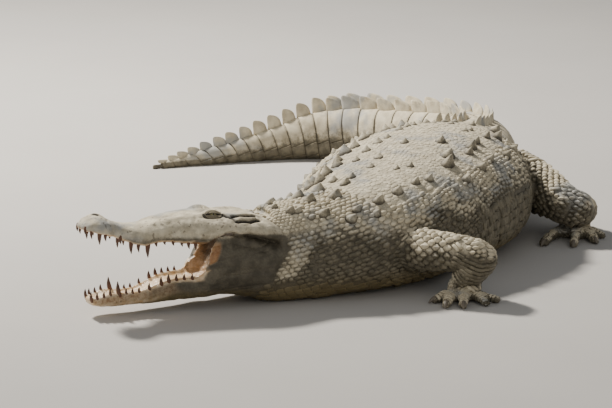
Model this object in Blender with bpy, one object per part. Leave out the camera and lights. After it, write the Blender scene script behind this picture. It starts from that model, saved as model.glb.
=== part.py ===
"""A basking crocodile with its mouth open, as a still, life-size museum model.

The animal lies on its belly, curled to its right: the head points to -X, the trunk runs away along
+Y and the tail sweeps back to -X. Metres, +Z up, the floor at z = 0, the origin under the belly.
Each length of the body is a loft of superellipse sections, parted from its neighbours by thin cuts.
"""

import math

import bmesh
import bpy
import numpy as np
from mathutils import Matrix, Vector

for old in list(bpy.data.objects):
    bpy.data.objects.remove(old)

# ---------------------------------------------------------------- driving dimensions
GAP = 0.0004  # width of the thin cuts between neighbouring pieces
FLAT = 0.006  # how far the resting undersides are pressed flat
HEAD_LENGTH = 0.530  # rear of the skull table to the snout tip
HEAD_YAW = math.radians(24)  # the head turns this far from -X towards -Y
SKULL_PITCH = math.radians(6)  # the skull is lifted, the mouth open
JAW_PITCH = math.radians(-8)  # the lower jaw slopes down to rest on the floor
HEAD_ROLL = math.radians(3)  # its left side is held a little higher
HINGE = Vector((-0.462, -0.590, 0.155))  # the jaw joints, on the head's midline
AROUND = 20  # points round a body section
KNOB_REACH, KNOB_WIDTH = 0.45, 0.62  # a knee's or elbow's rounded end, as shares of the limb's radius
HIDE = (0.46, 0.42, 0.34)  # dry, mud-dusted hide
HORN = (0.10, 0.09, 0.08)  # claws
EYE = (0.22, 0.20, 0.12)


# ---------------------------------------------------------------- curves and sections
def through(knots, values, at):
    """A natural cubic curve through the values at the knots, read at the places `at`."""
    x, y = np.asarray(knots, float), np.asarray(values, float)
    y = y.reshape(len(x), -1)
    step = np.diff(x)
    system, right = np.eye(len(x)), np.zeros_like(y)
    for i in range(1, len(x) - 1):
        system[i, i - 1 : i + 2] = step[i - 1], 2 * (step[i - 1] + step[i]), step[i]
        right[i] = 6 * ((y[i + 1] - y[i]) / step[i] - (y[i] - y[i - 1]) / step[i - 1])
    bend = np.linalg.solve(system, right)
    at = np.atleast_1d(np.asarray(at, float))
    k = np.clip(np.searchsorted(x, at) - 1, 0, len(x) - 2)
    width = step[k][:, None]
    a, b = (x[k + 1] - at)[:, None] / width, (at - x[k])[:, None] / width
    return a * y[k] + b * y[k + 1] + ((a**3 - a) * bend[k] + (b**3 - b) * bend[k + 1]) * width**2 / 6


def section(half_width, top, waist, bottom, squareness, count):
    """A closed superellipse, widest at the waist: lateral and height, at even steps of its length.

    It starts at the left waist and goes over the top. squareness is (upper half, lower half)."""
    turn = np.linspace(0, 2 * math.pi, 361)
    c, s = np.cos(turn), np.sin(turn)
    power = 2 / np.where(s >= 0, *squareness)
    lateral = half_width * np.sign(c) * np.abs(c) ** power
    height = waist + np.where(s >= 0, top - waist, bottom - waist) * np.abs(s) ** power
    length = np.append(0, np.cumsum(np.hypot(np.diff(lateral), np.diff(height))))
    even = np.linspace(0, length[-1], count, endpoint=False)
    return np.interp(even, length, lateral), np.interp(even, length, height)


# ---------------------------------------------------------------- solids
def solid(name, points, faces):
    mesh = bpy.data.meshes.new(name)
    mesh.from_pydata([tuple(p) for p in points], [], faces)
    shape = bmesh.new()
    shape.from_mesh(mesh)
    bmesh.ops.recalc_face_normals(shape, faces=shape.faces)
    bmesh.ops.triangulate(shape, faces=shape.faces)
    shape.to_mesh(mesh)
    shape.free()
    mesh.shade_smooth()
    obj = bpy.data.objects.new(name, mesh)
    bpy.context.scene.collection.objects.link(obj)
    paint(obj, HIDE, 0.75)
    return obj


def paint(obj, colour, roughness):
    material = bpy.data.materials.get(obj.name) or bpy.data.materials.new(obj.name)
    material.use_nodes = True
    shader = material.node_tree.nodes["Principled BSDF"]
    shader.inputs["Base Color"].default_value = (*colour, 1)
    shader.inputs["Roughness"].default_value = roughness
    shader.inputs["Metallic"].default_value = 0
    obj.data.materials.clear()
    obj.data.materials.append(material)


def loft(name, rings):
    """A closed skin over rings of points, with one face on each end."""
    count, last = len(rings[0]), (len(rings) - 1) * len(rings[0])
    faces = [tuple(reversed(range(count))), tuple(range(last, last + count))]
    for start in range(0, last, count):
        for j in range(count):
            n = (j + 1) % count
            faces.append((start + j, start + n, start + count + n, start + count + j))
    return solid(name, np.vstack(rings), faces)


def tube(name, path, radii, along, around, level=(0, 0, 1), rounded=False):
    """A loft round a path. radii gives (sideways, upright) at each point of the path.

    rounded adds a smaller ring beyond the far end, which turns it into a blunt knob."""
    path, radii = np.array(path, float), np.array(radii, float)
    travel = np.append(0, np.cumsum(np.linalg.norm(np.diff(path, axis=0), axis=1)))
    places = np.linspace(0, travel[-1], along)
    centres, sizes = through(travel, path, places), through(travel, radii, places)
    heading = np.gradient(centres, axis=0)
    turn = np.linspace(0, 2 * math.pi, around, endpoint=False)
    rings = []
    for centre, ahead, (side_radius, up_radius) in zip(centres, heading, sizes):
        side = np.cross(ahead, level)
        side /= np.linalg.norm(side)
        up = np.cross(side, ahead)
        up /= np.linalg.norm(up)
        sideways, upward = np.cos(turn) * side_radius, np.sin(turn) * up_radius
        rings.append(centre + np.outer(sideways, side) + np.outer(upward, up))
    if rounded:
        outward = heading[-1] / np.linalg.norm(heading[-1]) * KNOB_REACH * sizes[-1].mean()
        rings.append(centres[-1] + outward + KNOB_WIDTH * (rings[-1] - centres[-1]))
    return loft(name, rings)


def block(name, low, high):
    """A box used only to cut."""
    corners = [(x, y, z) for x in (low[0], high[0]) for y in (low[1], high[1]) for z in (low[2], high[2])]
    faces = [(0, 1, 3, 2), (4, 6, 7, 5), (0, 4, 5, 1), (2, 3, 7, 6), (0, 2, 6, 4), (1, 5, 7, 3)]
    return solid(name, corners, faces)


def swollen(obj, by):
    """A copy of a solid grown by a little all round, to cut a neighbour clear of it."""
    grown = bpy.data.objects.new(obj.name + "_grown", obj.data.copy())
    bpy.context.scene.collection.objects.link(grown)
    shape = bmesh.new()
    shape.from_mesh(grown.data)
    shape.normal_update()
    moves = [(vertex, vertex.normal * by * min(vertex.calc_shell_factor(), 3)) for vertex in shape.verts]
    for vertex, move in moves:
        vertex.co += move
    shape.to_mesh(grown.data)
    shape.free()
    return grown


def apply_boolean(obj, other, operation):
    modifier = obj.modifiers.new(operation.title(), "BOOLEAN")
    modifier.operation = operation
    modifier.solver = "EXACT"
    modifier.object = other
    graph = bpy.context.evaluated_depsgraph_get()
    result = bpy.data.meshes.new_from_object(obj.evaluated_get(graph))
    obj.modifiers.clear()
    obj.data = result
    bpy.data.objects.remove(other)


def carve(obj, *others, gap=GAP):
    """Cuts the other solids, grown by the gap, out of obj and leaves them as they are."""
    for other in others:
        apply_boolean(obj, swollen(other, gap), "DIFFERENCE")


def trim(obj, cutter):
    apply_boolean(obj, cutter, "DIFFERENCE")


def merge(obj, *others):
    for other in others:
        apply_boolean(obj, other, "UNION")


def flatten_underside(obj):
    """Cuts away what lies under the floor, so that the piece rests on flats at z = 0."""
    trim(obj, block("floor_cutter", (-3, -3, -1), (3, 3, 0)))


# ---------------------------------------------------------------- body: neck, trunk and tail
# Stations along the spine: x, y, half width, top, waist height, squareness above and below the waist.
STATIONS = np.array([
    (-0.455, -0.587, 0.118, 0.262, 0.115, 2.4, 2.8),  # nape, behind the skull
    (-0.345, -0.535, 0.150, 0.268, 0.115, 2.3, 2.8),  # neck
    (-0.235, -0.460, 0.200, 0.282, 0.125, 2.2, 2.8),  # collar
    (-0.145, -0.350, 0.250, 0.305, 0.130, 2.2, 2.8),  # shoulders
    (-0.065, -0.180, 0.300, 0.330, 0.140, 2.2, 2.8),  # ribs
    (0.015, 0.010, 0.325, 0.345, 0.142, 2.2, 2.8),  # middle of the belly
    (0.085, 0.210, 0.290, 0.335, 0.140, 2.2, 2.8),  # flanks
    (0.145, 0.400, 0.208, 0.300, 0.135, 2.4, 2.6),  # pelvis
    (0.200, 0.585, 0.146, 0.260, 0.125, 2.3, 2.4),  # root of the tail
    (0.228, 0.790, 0.116, 0.238, 0.112, 2.2, 2.4),
    (0.145, 1.005, 0.098, 0.215, 0.100, 2.4, 2.4),
    (-0.025, 1.160, 0.080, 0.193, 0.088, 2.6, 2.4),  # middle of the tail
    (-0.235, 1.270, 0.056, 0.166, 0.076, 2.2, 2.3),
    (-0.460, 1.240, 0.036, 0.100, 0.048, 2.0, 2.2),
    (-0.660, 1.168, 0.021, 0.050, 0.024, 2.0, 2.0),
    (-0.825, 1.092, 0.007, 0.016, 0.008, 2.0, 2.0),  # tip of the tail
])
STATION_AT = np.append(0, np.cumsum(np.hypot(*np.diff(STATIONS[:, :2], axis=0).T)))
NAPE, SHOULDER, PELVIS, TAIL_ROOT = STATION_AT[[0, 2, 7, 8]]
TAIL_TIP = STATION_AT[-1]


def spine(s):
    """Centre on the floor, way to the tail, way to the animal's left, and the section's sizes at s."""
    here = through(STATION_AT, STATIONS, s)[0]
    before, after = through(STATION_AT, STATIONS[:, :2], [s - 0.002, s + 0.002])
    back = (after - before) / np.linalg.norm(after - before)
    return here[:2], np.array([*back, 0]), np.array([back[1], -back[0], 0]), here[2:]


def body_ring(s, count=AROUND):
    centre, _, left, (half_width, top, waist, upper, lower) = spine(s)
    lateral, height = section(half_width, top, waist, -FLAT, (upper, lower), count)
    ring = np.outer(lateral, left)
    ring[:, :2] += centre
    ring[:, 2] = height
    return ring


def body_length(name, start, end, along, count=AROUND):
    """The body between two places on the spine, its ends half a cut short of them."""
    places = np.linspace(start + GAP / 2, end - GAP / 2, along)
    return loft(name, [body_ring(s, count) for s in places])


# The rings of scutes that end in crest flaps: a double row first, a single row on the rear.
DOUBLE_CREST, SINGLE_CREST = 16, 13
CREST_START, CREST_JOIN, CREST_END = PELVIS, STATION_AT[12] - 0.03, TAIL_TIP - 0.05
WHORLS = np.append(
    np.linspace(CREST_START, CREST_JOIN, DOUBLE_CREST),
    CREST_JOIN + (CREST_END - CREST_JOIN) * (np.arange(1, SINGLE_CREST + 1) / SINGLE_CREST) ** 0.93,
)
LAST_WHORLS = [0, 6, 12, 18, 23]  # the tail is parted behind these whorls
TAIL_CUTS = [(WHORLS[i] + WHORLS[i + 1]) / 2 for i in LAST_WHORLS] + [TAIL_TIP]

neck = body_length("neck", NAPE - 0.06, SHOULDER, 6)
trunk = body_length("trunk", SHOULDER, TAIL_CUTS[0], 13, AROUND + 4)
tail = [body_length(f"tail_{i + 1}", TAIL_CUTS[i], TAIL_CUTS[i + 1], 7, 16 - 2 * (i > 1)) for i in range(5)]
for length in (neck, trunk, *tail):
    flatten_underside(length)


# ---------------------------------------------------------------- the tail's crest
def crest_flap(s, across, tall, long):
    """A thin upright flap, leaning back, that grows from the top of the tail."""
    centre, back, left, (half_width, top, waist, upper, _) = spine(s)
    root = waist + (top - waist) * (1 - abs(across) ** upper) ** (1 / upper)
    base = np.array([*centre, root]) + left * across * half_width
    way_up = np.array([0, 0, 1]) + left * math.copysign(0.25 * abs(across) ** 0.5, across)
    rings = []
    for side in (1, -1):
        ring = []
        for along, up in ((-0.50, -0.30), (-0.20, 0.60), (0.42, 1.0), (0.50, -0.30)):
            thick = (0.12 * long + 0.002) * (1 - 0.7 * max(up, 0))
            ring.append(base + back * along * long + way_up * up * tall + left * side * thick)
        rings.append(np.array(ring))
    return loft("crest", rings)


# Each whorl's flaps grow on the length of the body that it lies on.
for i, s in enumerate(WHORLS):
    owner = [trunk, *tail][int(np.searchsorted(LAST_WHORLS, i))]
    long = 0.80 * np.min(np.abs(np.delete(WHORLS, i) - s))
    if i < DOUBLE_CREST:
        share = i / (DOUBLE_CREST - 1)
        across = (0.30 + 0.10 * share) * (1 - 0.5 * share**6)
        for side in (1, -1):
            merge(owner, crest_flap(s, side * across, 0.030 + 0.022 * share, long))
    else:
        share = (i + 1 - DOUBLE_CREST) / SINGLE_CREST
        merge(owner, crest_flap(s, 0.0, 0.066 * (1 - share) + 0.008, long))

# ---------------------------------------------------------------- head
AHEAD = np.array([-math.cos(HEAD_YAW), -math.sin(HEAD_YAW), 0])
LEVEL_LEFT = np.array([math.sin(HEAD_YAW), -math.cos(HEAD_YAW), 0])
HEAD_LEFT = LEVEL_LEFT * math.cos(HEAD_ROLL) + np.array([0, 0, math.sin(HEAD_ROLL)])
HEAD_UP = np.cross(HEAD_LEFT, AHEAD) * -1
# The skull: share of its length, half width at the tooth row, top, tooth row.
SKULL = np.array([
    (-0.10, 0.114, 0.078, 0.016),
    (0.00, 0.122, 0.086, 0.026),
    (0.10, 0.126, 0.090, 0.040),
    (0.20, 0.121, 0.092, 0.046),
    (0.27, 0.113, 0.092, 0.040),
    (0.33, 0.104, 0.092, 0.014),
    (0.40, 0.093, 0.090, 0.006),
    (0.50, 0.079, 0.082, 0.008),
    (0.57, 0.072, 0.073, 0.009),
    (0.63, 0.069, 0.063, 0.004),
    (0.685, 0.067, 0.056, -0.001),
    (0.74, 0.059, 0.055, 0.004),
    (0.80, 0.046, 0.058, 0.014),
    (0.86, 0.051, 0.067, 0.022),
    (0.91, 0.056, 0.072, 0.028),
    (0.95, 0.053, 0.069, 0.032),
    (0.98, 0.040, 0.060, 0.036),
    (1.00, 0.020, 0.051, 0.040),
])
# The lower jaw: share of the head's length, half width, top of the tooth row, underside.
JAW = np.array([
    (-0.10, 0.116, 0.010, -0.170),
    (0.00, 0.122, 0.030, -0.160),
    (0.08, 0.123, 0.055, -0.142),
    (0.16, 0.118, 0.075, -0.126),
    (0.23, 0.110, 0.086, -0.115),
    (0.27, 0.104, 0.080, -0.111),
    (0.31, 0.097, 0.050, -0.108),
    (0.35, 0.089, -0.006, -0.105),
    (0.38, 0.084, -0.024, -0.102),
    (0.42, 0.076, -0.026, -0.100),
    (0.47, 0.068, -0.022, -0.096),
    (0.54, 0.058, -0.020, -0.092),
    (0.65, 0.045, -0.031, -0.086),
    (0.74, 0.037, -0.034, -0.078),
    (0.81, 0.040, -0.026, -0.072),
    (0.87, 0.043, -0.022, -0.067),
    (0.93, 0.037, -0.026, -0.059),
    (0.96, 0.027, -0.026, -0.052),
    (0.975, 0.014, -0.030, -0.044),
])
# Raised forms on the skull: place along it, off the midline, height, reach along and across.
SKULL_FORMS = [
    (0.915, 0.000, 0.010, 0.038, 0.032),  # nostril disc
    (0.440, 0.000, 0.006, 0.070, 0.035),  # boss in front of the eyes
    (0.300, 0.042, 0.013, 0.050, 0.020),  # orbits
    (0.290, 0.000, -0.008, 0.060, 0.020),  # hollow between them
    (0.100, 0.058, 0.006, 0.070, 0.018),  # side edges of the skull table
]


def head_point(along, lateral, height, pitch):
    c, s = math.cos(pitch), math.sin(pitch)
    reach, rise = along * c - height * s, along * s + height * c
    return np.array(HINGE) + np.outer(reach, AHEAD) + np.outer(lateral, HEAD_LEFT) + np.outer(rise, HEAD_UP)


def skull_ring(share, count):
    half_width, top, row = through(SKULL[:, 0], SKULL[:, 1:], share)[0]
    lateral, height = section(half_width, top, row + 0.3 * (top - row), row, (2.5, 3.6), count)
    upward = np.clip((height - row) / (top - row) * 2 - 1, 0, 1)
    for place, off, rise, reach, spread in SKULL_FORMS:
        away = ((share - place) * HEAD_LENGTH / reach / 0.7) ** 2 + ((np.abs(lateral) - off) / spread) ** 2
        height = height + rise * upward * np.exp(-away)
    return head_point(np.full(count, share * HEAD_LENGTH), lateral, height, SKULL_PITCH)


def jaw_ring(share, count):
    """The jaw's section, with a channel sunk between the tooth rows."""
    half_width, top, under = through(JAW[:, 0], JAW[:, 1:], share)[0]
    lateral, height = section(half_width, top, under + 0.60 * (top - under), under, (3.4, 2.6), count)
    deep = np.interp(share, (0.30, 0.36, 0.60, 0.90, 0.96), (0, 0.030, 0.020, 0.012, 0))
    inside = np.clip(1 - (np.abs(lateral) / (0.78 * half_width)) ** 4, 0, 1)
    height = height - deep * inside * (height > under + 0.65 * (top - under))
    return head_point(np.full(count, share * HEAD_LENGTH), lateral, height, JAW_PITCH)


def rings_at(ring, shares, count):
    return [ring(share, count) for share in shares]


NAPE_PLANE = Vector(HINGE) - 0.030 * Vector(AHEAD)  # where the head is parted from the neck


def beyond_nape(side):
    """A large block on one side of the plane between head and neck: 1 behind it, -1 in front."""
    cutter = block("nape_cutter", (-GAP / 2, -1, -1), (1, 1, 1))
    turn = math.atan2(-AHEAD[1] * side, -AHEAD[0] * side)
    cutter.data.transform(Matrix.Translation(NAPE_PLANE) @ Matrix.Rotation(turn, 4, "Z"))
    return cutter


# The skull has a section at each row of its table, and more at the eyes and the nostrils.
SKULL_CUTS = np.append(SKULL[:, 0], [0.30, 0.45, 0.885, 0.935])
head = loft("head", rings_at(skull_ring, np.sort(SKULL_CUTS), 18))
lower_jaw = loft("lower_jaw", rings_at(jaw_ring, JAW[:, 0], 16))


# ---------------------------------------------------------------- eyes
EYE_RADIUS = 0.021
for name, side in (("eye_left", 1), ("eye_right", -1)):
    centre = head_point(0.308 * HEAD_LENGTH, side * 0.047, 0.082, SKULL_PITCH)[0]
    ball = bmesh.new()
    bmesh.ops.create_uvsphere(ball, u_segments=8, v_segments=6, radius=EYE_RADIUS)
    mesh = bpy.data.meshes.new(name)
    ball.to_mesh(mesh)
    ball.free()
    mesh.shade_smooth()
    eye = bpy.data.objects.new(name, mesh)
    mesh.transform(Matrix.Translation(centre))
    bpy.context.scene.collection.objects.link(eye)
    paint(eye, EYE, 0.15)
    carve(head, eye)

# ---------------------------------------------------------------- teeth
TOOTH_ROOT = 0.012  # how deep a tooth is sunk in the gum


def tooth(share, side, tall, thick, pitch, table, up):
    """A cone that stands in the tooth row, its root sunk in the gum."""
    half_width, top, under = through(table[:, 0], table[:, 1:], share)[0]
    if up:
        waist, row, power = under + 0.60 * (top - under), top, 3.4
    else:
        waist, row, power = under + 0.30 * (top - under), under, 3.6
    inward = 0.86 - 0.1 * thick / half_width
    level = waist + (row - waist) * (1 - inward**power) ** (1 / power)
    lateral = side * half_width * inward
    way = math.copysign(1, row - waist)
    foot = head_point(share * HEAD_LENGTH, lateral, level - TOOTH_ROOT * way, pitch)[0]
    tip = head_point(share * HEAD_LENGTH, lateral * 1.08, row + tall * way, pitch)[0]
    sizes = [(1.1 * thick, 1.1 * thick), (0.12 * thick, 0.12 * thick)]
    return tube("tooth", [foot, tip], sizes, 2, 4 if thick > 0.0062 else 3, tuple(AHEAD))


UPPER_TEETH = [  # share of the head's length, height, radius
    (0.985, 0.013, 0.0040),
    (0.965, 0.018, 0.0045),
    (0.918, 0.030, 0.0065),
    (0.884, 0.016, 0.0050),
    (0.795, 0.014, 0.0045),
    (0.742, 0.030, 0.0065),
    (0.712, 0.020, 0.0055),
    (0.668, 0.036, 0.0075),
    (0.625, 0.014, 0.0055),
    (0.580, 0.012, 0.0045),
    (0.535, 0.013, 0.0050),
    (0.490, 0.012, 0.0045),
    (0.450, 0.014, 0.0050),
    (0.410, 0.014, 0.0050),
    (0.375, 0.012, 0.0045),
]
LOWER_TEETH = [
    (0.965, 0.022, 0.0050),
    (0.935, 0.014, 0.0045),
    (0.900, 0.014, 0.0045),
    (0.865, 0.015, 0.0045),
    (0.818, 0.034, 0.0075),
    (0.775, 0.011, 0.0040),
    (0.740, 0.011, 0.0040),
    (0.705, 0.011, 0.0040),
    (0.650, 0.013, 0.0045),
    (0.590, 0.018, 0.0055),
    (0.550, 0.018, 0.0055),
    (0.510, 0.018, 0.0055),
    (0.470, 0.016, 0.0050),
    (0.430, 0.013, 0.0045),
]
for side in (1, -1):
    for share, tall, thick in UPPER_TEETH:
        merge(head, tooth(share, side, tall, thick, SKULL_PITCH, SKULL, False))
    for share, tall, thick in LOWER_TEETH:
        merge(lower_jaw, tooth(share, side, tall, thick, JAW_PITCH, JAW, True))

trim(head, beyond_nape(1))
trim(lower_jaw, beyond_nape(1))
trim(neck, beyond_nape(-1))
carve(lower_jaw, head)
flatten_underside(lower_jaw)

# ---------------------------------------------------------------- legs
# Paths of the limbs: x, y, z, sideways radius, upright radius. The left legs bear outwards, the
# right ones are tucked against the flank.
LIMBS = {
    "foreleg_left_upper": [
        (-0.12, -0.465, 0.120, 0.070, 0.072),
        (0.03, -0.570, 0.130, 0.058, 0.055),
        (0.165, -0.638, 0.137, 0.047, 0.044),
    ],
    "foreleg_left_lower": [
        (0.170, -0.636, 0.142, 0.046, 0.046),
        (0.155, -0.615, 0.100, 0.058, 0.048),
        (0.122, -0.592, 0.048, 0.048, 0.032),
    ],
    "foreleg_right_upper": [
        (-0.28, -0.290, 0.120, 0.068, 0.070),
        (-0.37, -0.225, 0.120, 0.056, 0.055),
        (-0.445, -0.150, 0.105, 0.046, 0.044),
    ],
    "foreleg_right_lower": [
        (-0.450, -0.142, 0.106, 0.046, 0.046),
        (-0.460, -0.185, 0.080, 0.055, 0.046),
        (-0.468, -0.240, 0.046, 0.046, 0.032),
    ],
    "hindleg_left_thigh": [
        (0.210, 0.420, 0.168, 0.090, 0.085),
        (0.350, 0.260, 0.142, 0.080, 0.078),
        (0.468, 0.078, 0.104, 0.056, 0.053),
    ],
    "hindleg_left_shank": [
        (0.482, 0.070, 0.104, 0.054, 0.056),
        (0.500, 0.160, 0.080, 0.056, 0.046),
        (0.505, 0.262, 0.050, 0.042, 0.036),
    ],
    "hindleg_right_thigh": [
        (0.045, 0.470, 0.165, 0.090, 0.085),
        (-0.110, 0.420, 0.145, 0.084, 0.080),
        (-0.235, 0.310, 0.105, 0.058, 0.056),
    ],
    "hindleg_right_shank": [
        (-0.240, 0.300, 0.103, 0.054, 0.054),
        (-0.235, 0.390, 0.080, 0.054, 0.045),
        (-0.205, 0.490, 0.050, 0.042, 0.036),
    ],
}
# The soles, in the same five numbers, from the wrist or the ankle to the roots of the toes.
FOOT_PATHS = {
    "forefoot_left": [
        (0.122, -0.570, 0.044, 0.044, 0.030),
        (0.125, -0.600, 0.024, 0.050, 0.027),
        (0.123, -0.636, 0.014, 0.046, 0.020),
    ],
    "hindfoot_left": [
        (0.505, 0.285, 0.032, 0.034, 0.037),
        (0.498, 0.210, 0.026, 0.040, 0.031),
        (0.482, 0.120, 0.015, 0.052, 0.021),
    ],
}
TOE_TIPS = {  # inner toe first: x, y, height at the knuckle
    "forefoot_left": [
        (0.040, -0.655, 0.030),
        (0.070, -0.706, 0.032),
        (0.118, -0.712, 0.032),
        (0.184, -0.692, 0.028),
        (0.216, -0.652, 0.026),
    ],
    "hindfoot_left": [
        (0.390, 0.022, 0.030),
        (0.478, 0.006, 0.032),
        (0.546, 0.052, 0.030),
        (0.574, 0.118, 0.026),
    ],
}
TOE_SIZES = [(0.017, 0.017), (0.016, 0.015), (0.011, 0.010)]  # radii from root to tip
CLAWED_TOES = 3  # the outer toes have no claw
CLAW_SIZES = [(0.0070, 0.0070), (0.0058, 0.0062), (0.0012, 0.0012)]
# Claws from the root inside the toe to the tip: ahead of the toe's end, height.
CLAW_PATH = [(-0.012, 0.015), (0.006, 0.014), (0.026, 0.005)]
# Where the right feet stand, as a mirror image of the left: wrist or ankle, and heading.
RIGHT_FEET = {
    "forefoot": ((-0.468, -0.226), math.radians(218)),
    "hindfoot": ((-0.202, 0.510), math.radians(238)),
}
LEFT_HEADING = {"forefoot": math.radians(266), "hindfoot": math.radians(262)}


def mirrored(points, kind):
    """The left foot's points carried over to the right foot."""
    home = np.array(FOOT_PATHS[kind + "_left"][0][:2])
    (there_x, there_y), heading = RIGHT_FEET[kind]
    result = []
    for x, y, *rest in points:
        reach, angle = np.hypot(x - home[0], y - home[1]), math.atan2(y - home[1], x - home[0])
        angle = heading - (angle - LEFT_HEADING[kind])
        result.append((there_x + reach * math.cos(angle), there_y + reach * math.sin(angle), *rest))
    return result


def limb(name, path, along=5, around=10, rounded=False):
    """A tube along a limb's path, if wanted with a rounded far end for the knee or the elbow."""
    path = np.array(path)
    return tube(name, path[:, :3], path[:, 3:], along, around, rounded=rounded)


def build_foot(name, path, tips):
    """Sole and toes in one, pressed flat on the floor, with the claws as pieces of their own."""
    foot = limb(name, path, 3, 10)
    (x, y, z, wide, _), back = path[2], np.array(path[1][:2]) - np.array(path[2][:2])
    across = np.array([-back[1], back[0]]) / np.linalg.norm(back)
    claws = []
    for i, (tip_x, tip_y, knuckle) in enumerate(tips):
        tip = np.array([tip_x, tip_y])
        off = np.clip(np.dot(tip - (x, y), across), -0.7 * wide, 0.7 * wide)
        root = np.array([x, y]) + across * off + 0.35 * back
        middle = root + 0.5 * (tip - root)
        points = [(*root, z), (*middle, knuckle - 0.012), (*tip, 0.007)]
        merge(foot, tube(f"toe_{i}", points, TOE_SIZES, 3, 5))
        if i < CLAWED_TOES:
            way = (tip - middle) / np.linalg.norm(tip - middle)
            claw_path = [(*(tip + way * ahead), height) for ahead, height in CLAW_PATH]
            claws.append(tube(f"{name}_claw_{i + 1}", claw_path, CLAW_SIZES, 3, 5))
    for claw in claws:
        paint(claw, HORN, 0.4)
        flatten_underside(claw)
        carve(foot, claw)
    flatten_underside(foot)
    return foot


legs = {name: limb(name, path, rounded=name.endswith(("upper", "thigh"))) for name, path in LIMBS.items()}
for kind in ("forefoot", "hindfoot"):
    for side in ("left", "right"):
        name = f"{kind}_{side}"
        path, tips = FOOT_PATHS[kind + "_left"], TOE_TIPS[kind + "_left"]
        if side == "right":
            path, tips = mirrored(path, kind), mirrored(tips, kind)
        legs[name] = build_foot(name, path, tips)

for side in ("left", "right"):
    upper, lower, foot = (legs[n] for n in (f"foreleg_{side}_upper", f"foreleg_{side}_lower", f"forefoot_{side}"))
    carve(upper, trunk, neck)
    carve(lower, upper, trunk, neck)
    carve(foot, lower)
    thigh, shank, foot = (legs[n] for n in (f"hindleg_{side}_thigh", f"hindleg_{side}_shank", f"hindfoot_{side}"))
    carve(thigh, trunk, tail[0])
    carve(shank, thigh, trunk)
    carve(foot, shank, thigh)

# ---------------------------------------------------------------- fewer facets where they lie flat
for obj in bpy.context.scene.objects:
    shape = bmesh.new()
    shape.from_mesh(obj.data)
    bmesh.ops.dissolve_limit(shape, angle_limit=math.radians(0.2), verts=shape.verts, edges=shape.edges)
    bmesh.ops.dissolve_degenerate(shape, dist=1e-6, edges=shape.edges)
    bmesh.ops.triangulate(shape, faces=shape.faces)
    shape.to_mesh(obj.data)
    shape.free()
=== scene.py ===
import math

import bmesh
import bpy
import numpy as np
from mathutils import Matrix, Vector
from mathutils.bvhtree import BVHTree
from mathutils.kdtree import KDTree


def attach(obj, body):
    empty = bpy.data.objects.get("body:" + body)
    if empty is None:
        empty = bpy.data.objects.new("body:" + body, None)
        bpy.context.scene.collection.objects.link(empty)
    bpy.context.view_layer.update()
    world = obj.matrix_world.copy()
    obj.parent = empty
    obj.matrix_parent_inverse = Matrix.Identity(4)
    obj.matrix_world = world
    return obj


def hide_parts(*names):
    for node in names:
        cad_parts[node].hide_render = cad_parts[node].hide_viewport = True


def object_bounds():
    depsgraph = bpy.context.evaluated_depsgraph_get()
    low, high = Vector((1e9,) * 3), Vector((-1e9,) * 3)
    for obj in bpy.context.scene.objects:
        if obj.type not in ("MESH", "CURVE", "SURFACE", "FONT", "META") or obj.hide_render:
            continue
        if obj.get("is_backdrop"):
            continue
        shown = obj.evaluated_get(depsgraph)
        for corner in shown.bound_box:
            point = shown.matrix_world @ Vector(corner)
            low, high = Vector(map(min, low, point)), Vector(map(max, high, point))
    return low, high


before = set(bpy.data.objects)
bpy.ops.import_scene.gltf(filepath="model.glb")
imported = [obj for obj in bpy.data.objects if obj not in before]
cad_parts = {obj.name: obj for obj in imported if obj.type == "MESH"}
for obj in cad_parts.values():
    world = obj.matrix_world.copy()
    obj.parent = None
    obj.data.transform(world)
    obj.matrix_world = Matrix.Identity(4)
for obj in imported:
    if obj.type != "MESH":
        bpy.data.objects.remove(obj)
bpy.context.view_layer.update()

# ================================================================ the skin
# The whole hide of the animal in one closed piece: head, jaws, neck, trunk, tail, legs and feet.
# Each length is a loft of superellipse sections; a voxel remesh fuses them, folds and ridges are
# pressed in, and the mesh is thinned where the scales cover it. Dry mud lies on what faces up.
FLAT = 0.006  # how far the resting undersides are pressed flat
COAT_DEPTH = 0.0025  # the scales stand on the skin by this much
SKIN_TRIANGLES = 192_000
VOXEL = 0.0034  # of the remesh that fuses the lengths


def through(knots, values, at):
    """A natural cubic curve through the values at the knots, read at the places `at`."""
    x, y = np.asarray(knots, float), np.asarray(values, float)
    y = y.reshape(len(x), -1)
    step = np.diff(x)
    system, right = np.eye(len(x)), np.zeros_like(y)
    for i in range(1, len(x) - 1):
        system[i, i - 1 : i + 2] = step[i - 1], 2 * (step[i - 1] + step[i]), step[i]
        right[i] = 6 * ((y[i + 1] - y[i]) / step[i] - (y[i] - y[i - 1]) / step[i - 1])
    bend = np.linalg.solve(system, right)
    at = np.atleast_1d(np.asarray(at, float))
    k = np.clip(np.searchsorted(x, at) - 1, 0, len(x) - 2)
    width = step[k][:, None]
    a, b = (x[k + 1] - at)[:, None] / width, (at - x[k])[:, None] / width
    curve = (a**3 - a) * bend[k] + (b**3 - b) * bend[k + 1]
    return a * y[k] + b * y[k + 1] + curve * width**2 / 6


def section(half_width, top, waist, bottom, squareness, count, start=0.0, stop=2 * math.pi):
    """A superellipse, widest at the waist: lateral and height at even steps of its length."""
    turn = np.linspace(start, stop, 361)
    c, s = np.cos(turn), np.sin(turn)
    power = 2 / np.where(s >= 0, *squareness)
    lateral = half_width * np.sign(c) * np.abs(c) ** power
    height = waist + np.where(s >= 0, top - waist, bottom - waist) * np.abs(s) ** power
    length = np.append(0, np.cumsum(np.hypot(np.diff(lateral), np.diff(height))))
    even = np.linspace(0, length[-1], count, endpoint=stop - start < 6)
    return np.interp(even, length, lateral), np.interp(even, length, height), length[-1]


def ease(low, high, x):
    """0 below low, 1 above high, and smooth between them."""
    t = np.clip((np.asarray(x, float) - low) / (high - low), 0, 1)
    return t * t * (3 - 2 * t)


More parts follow.
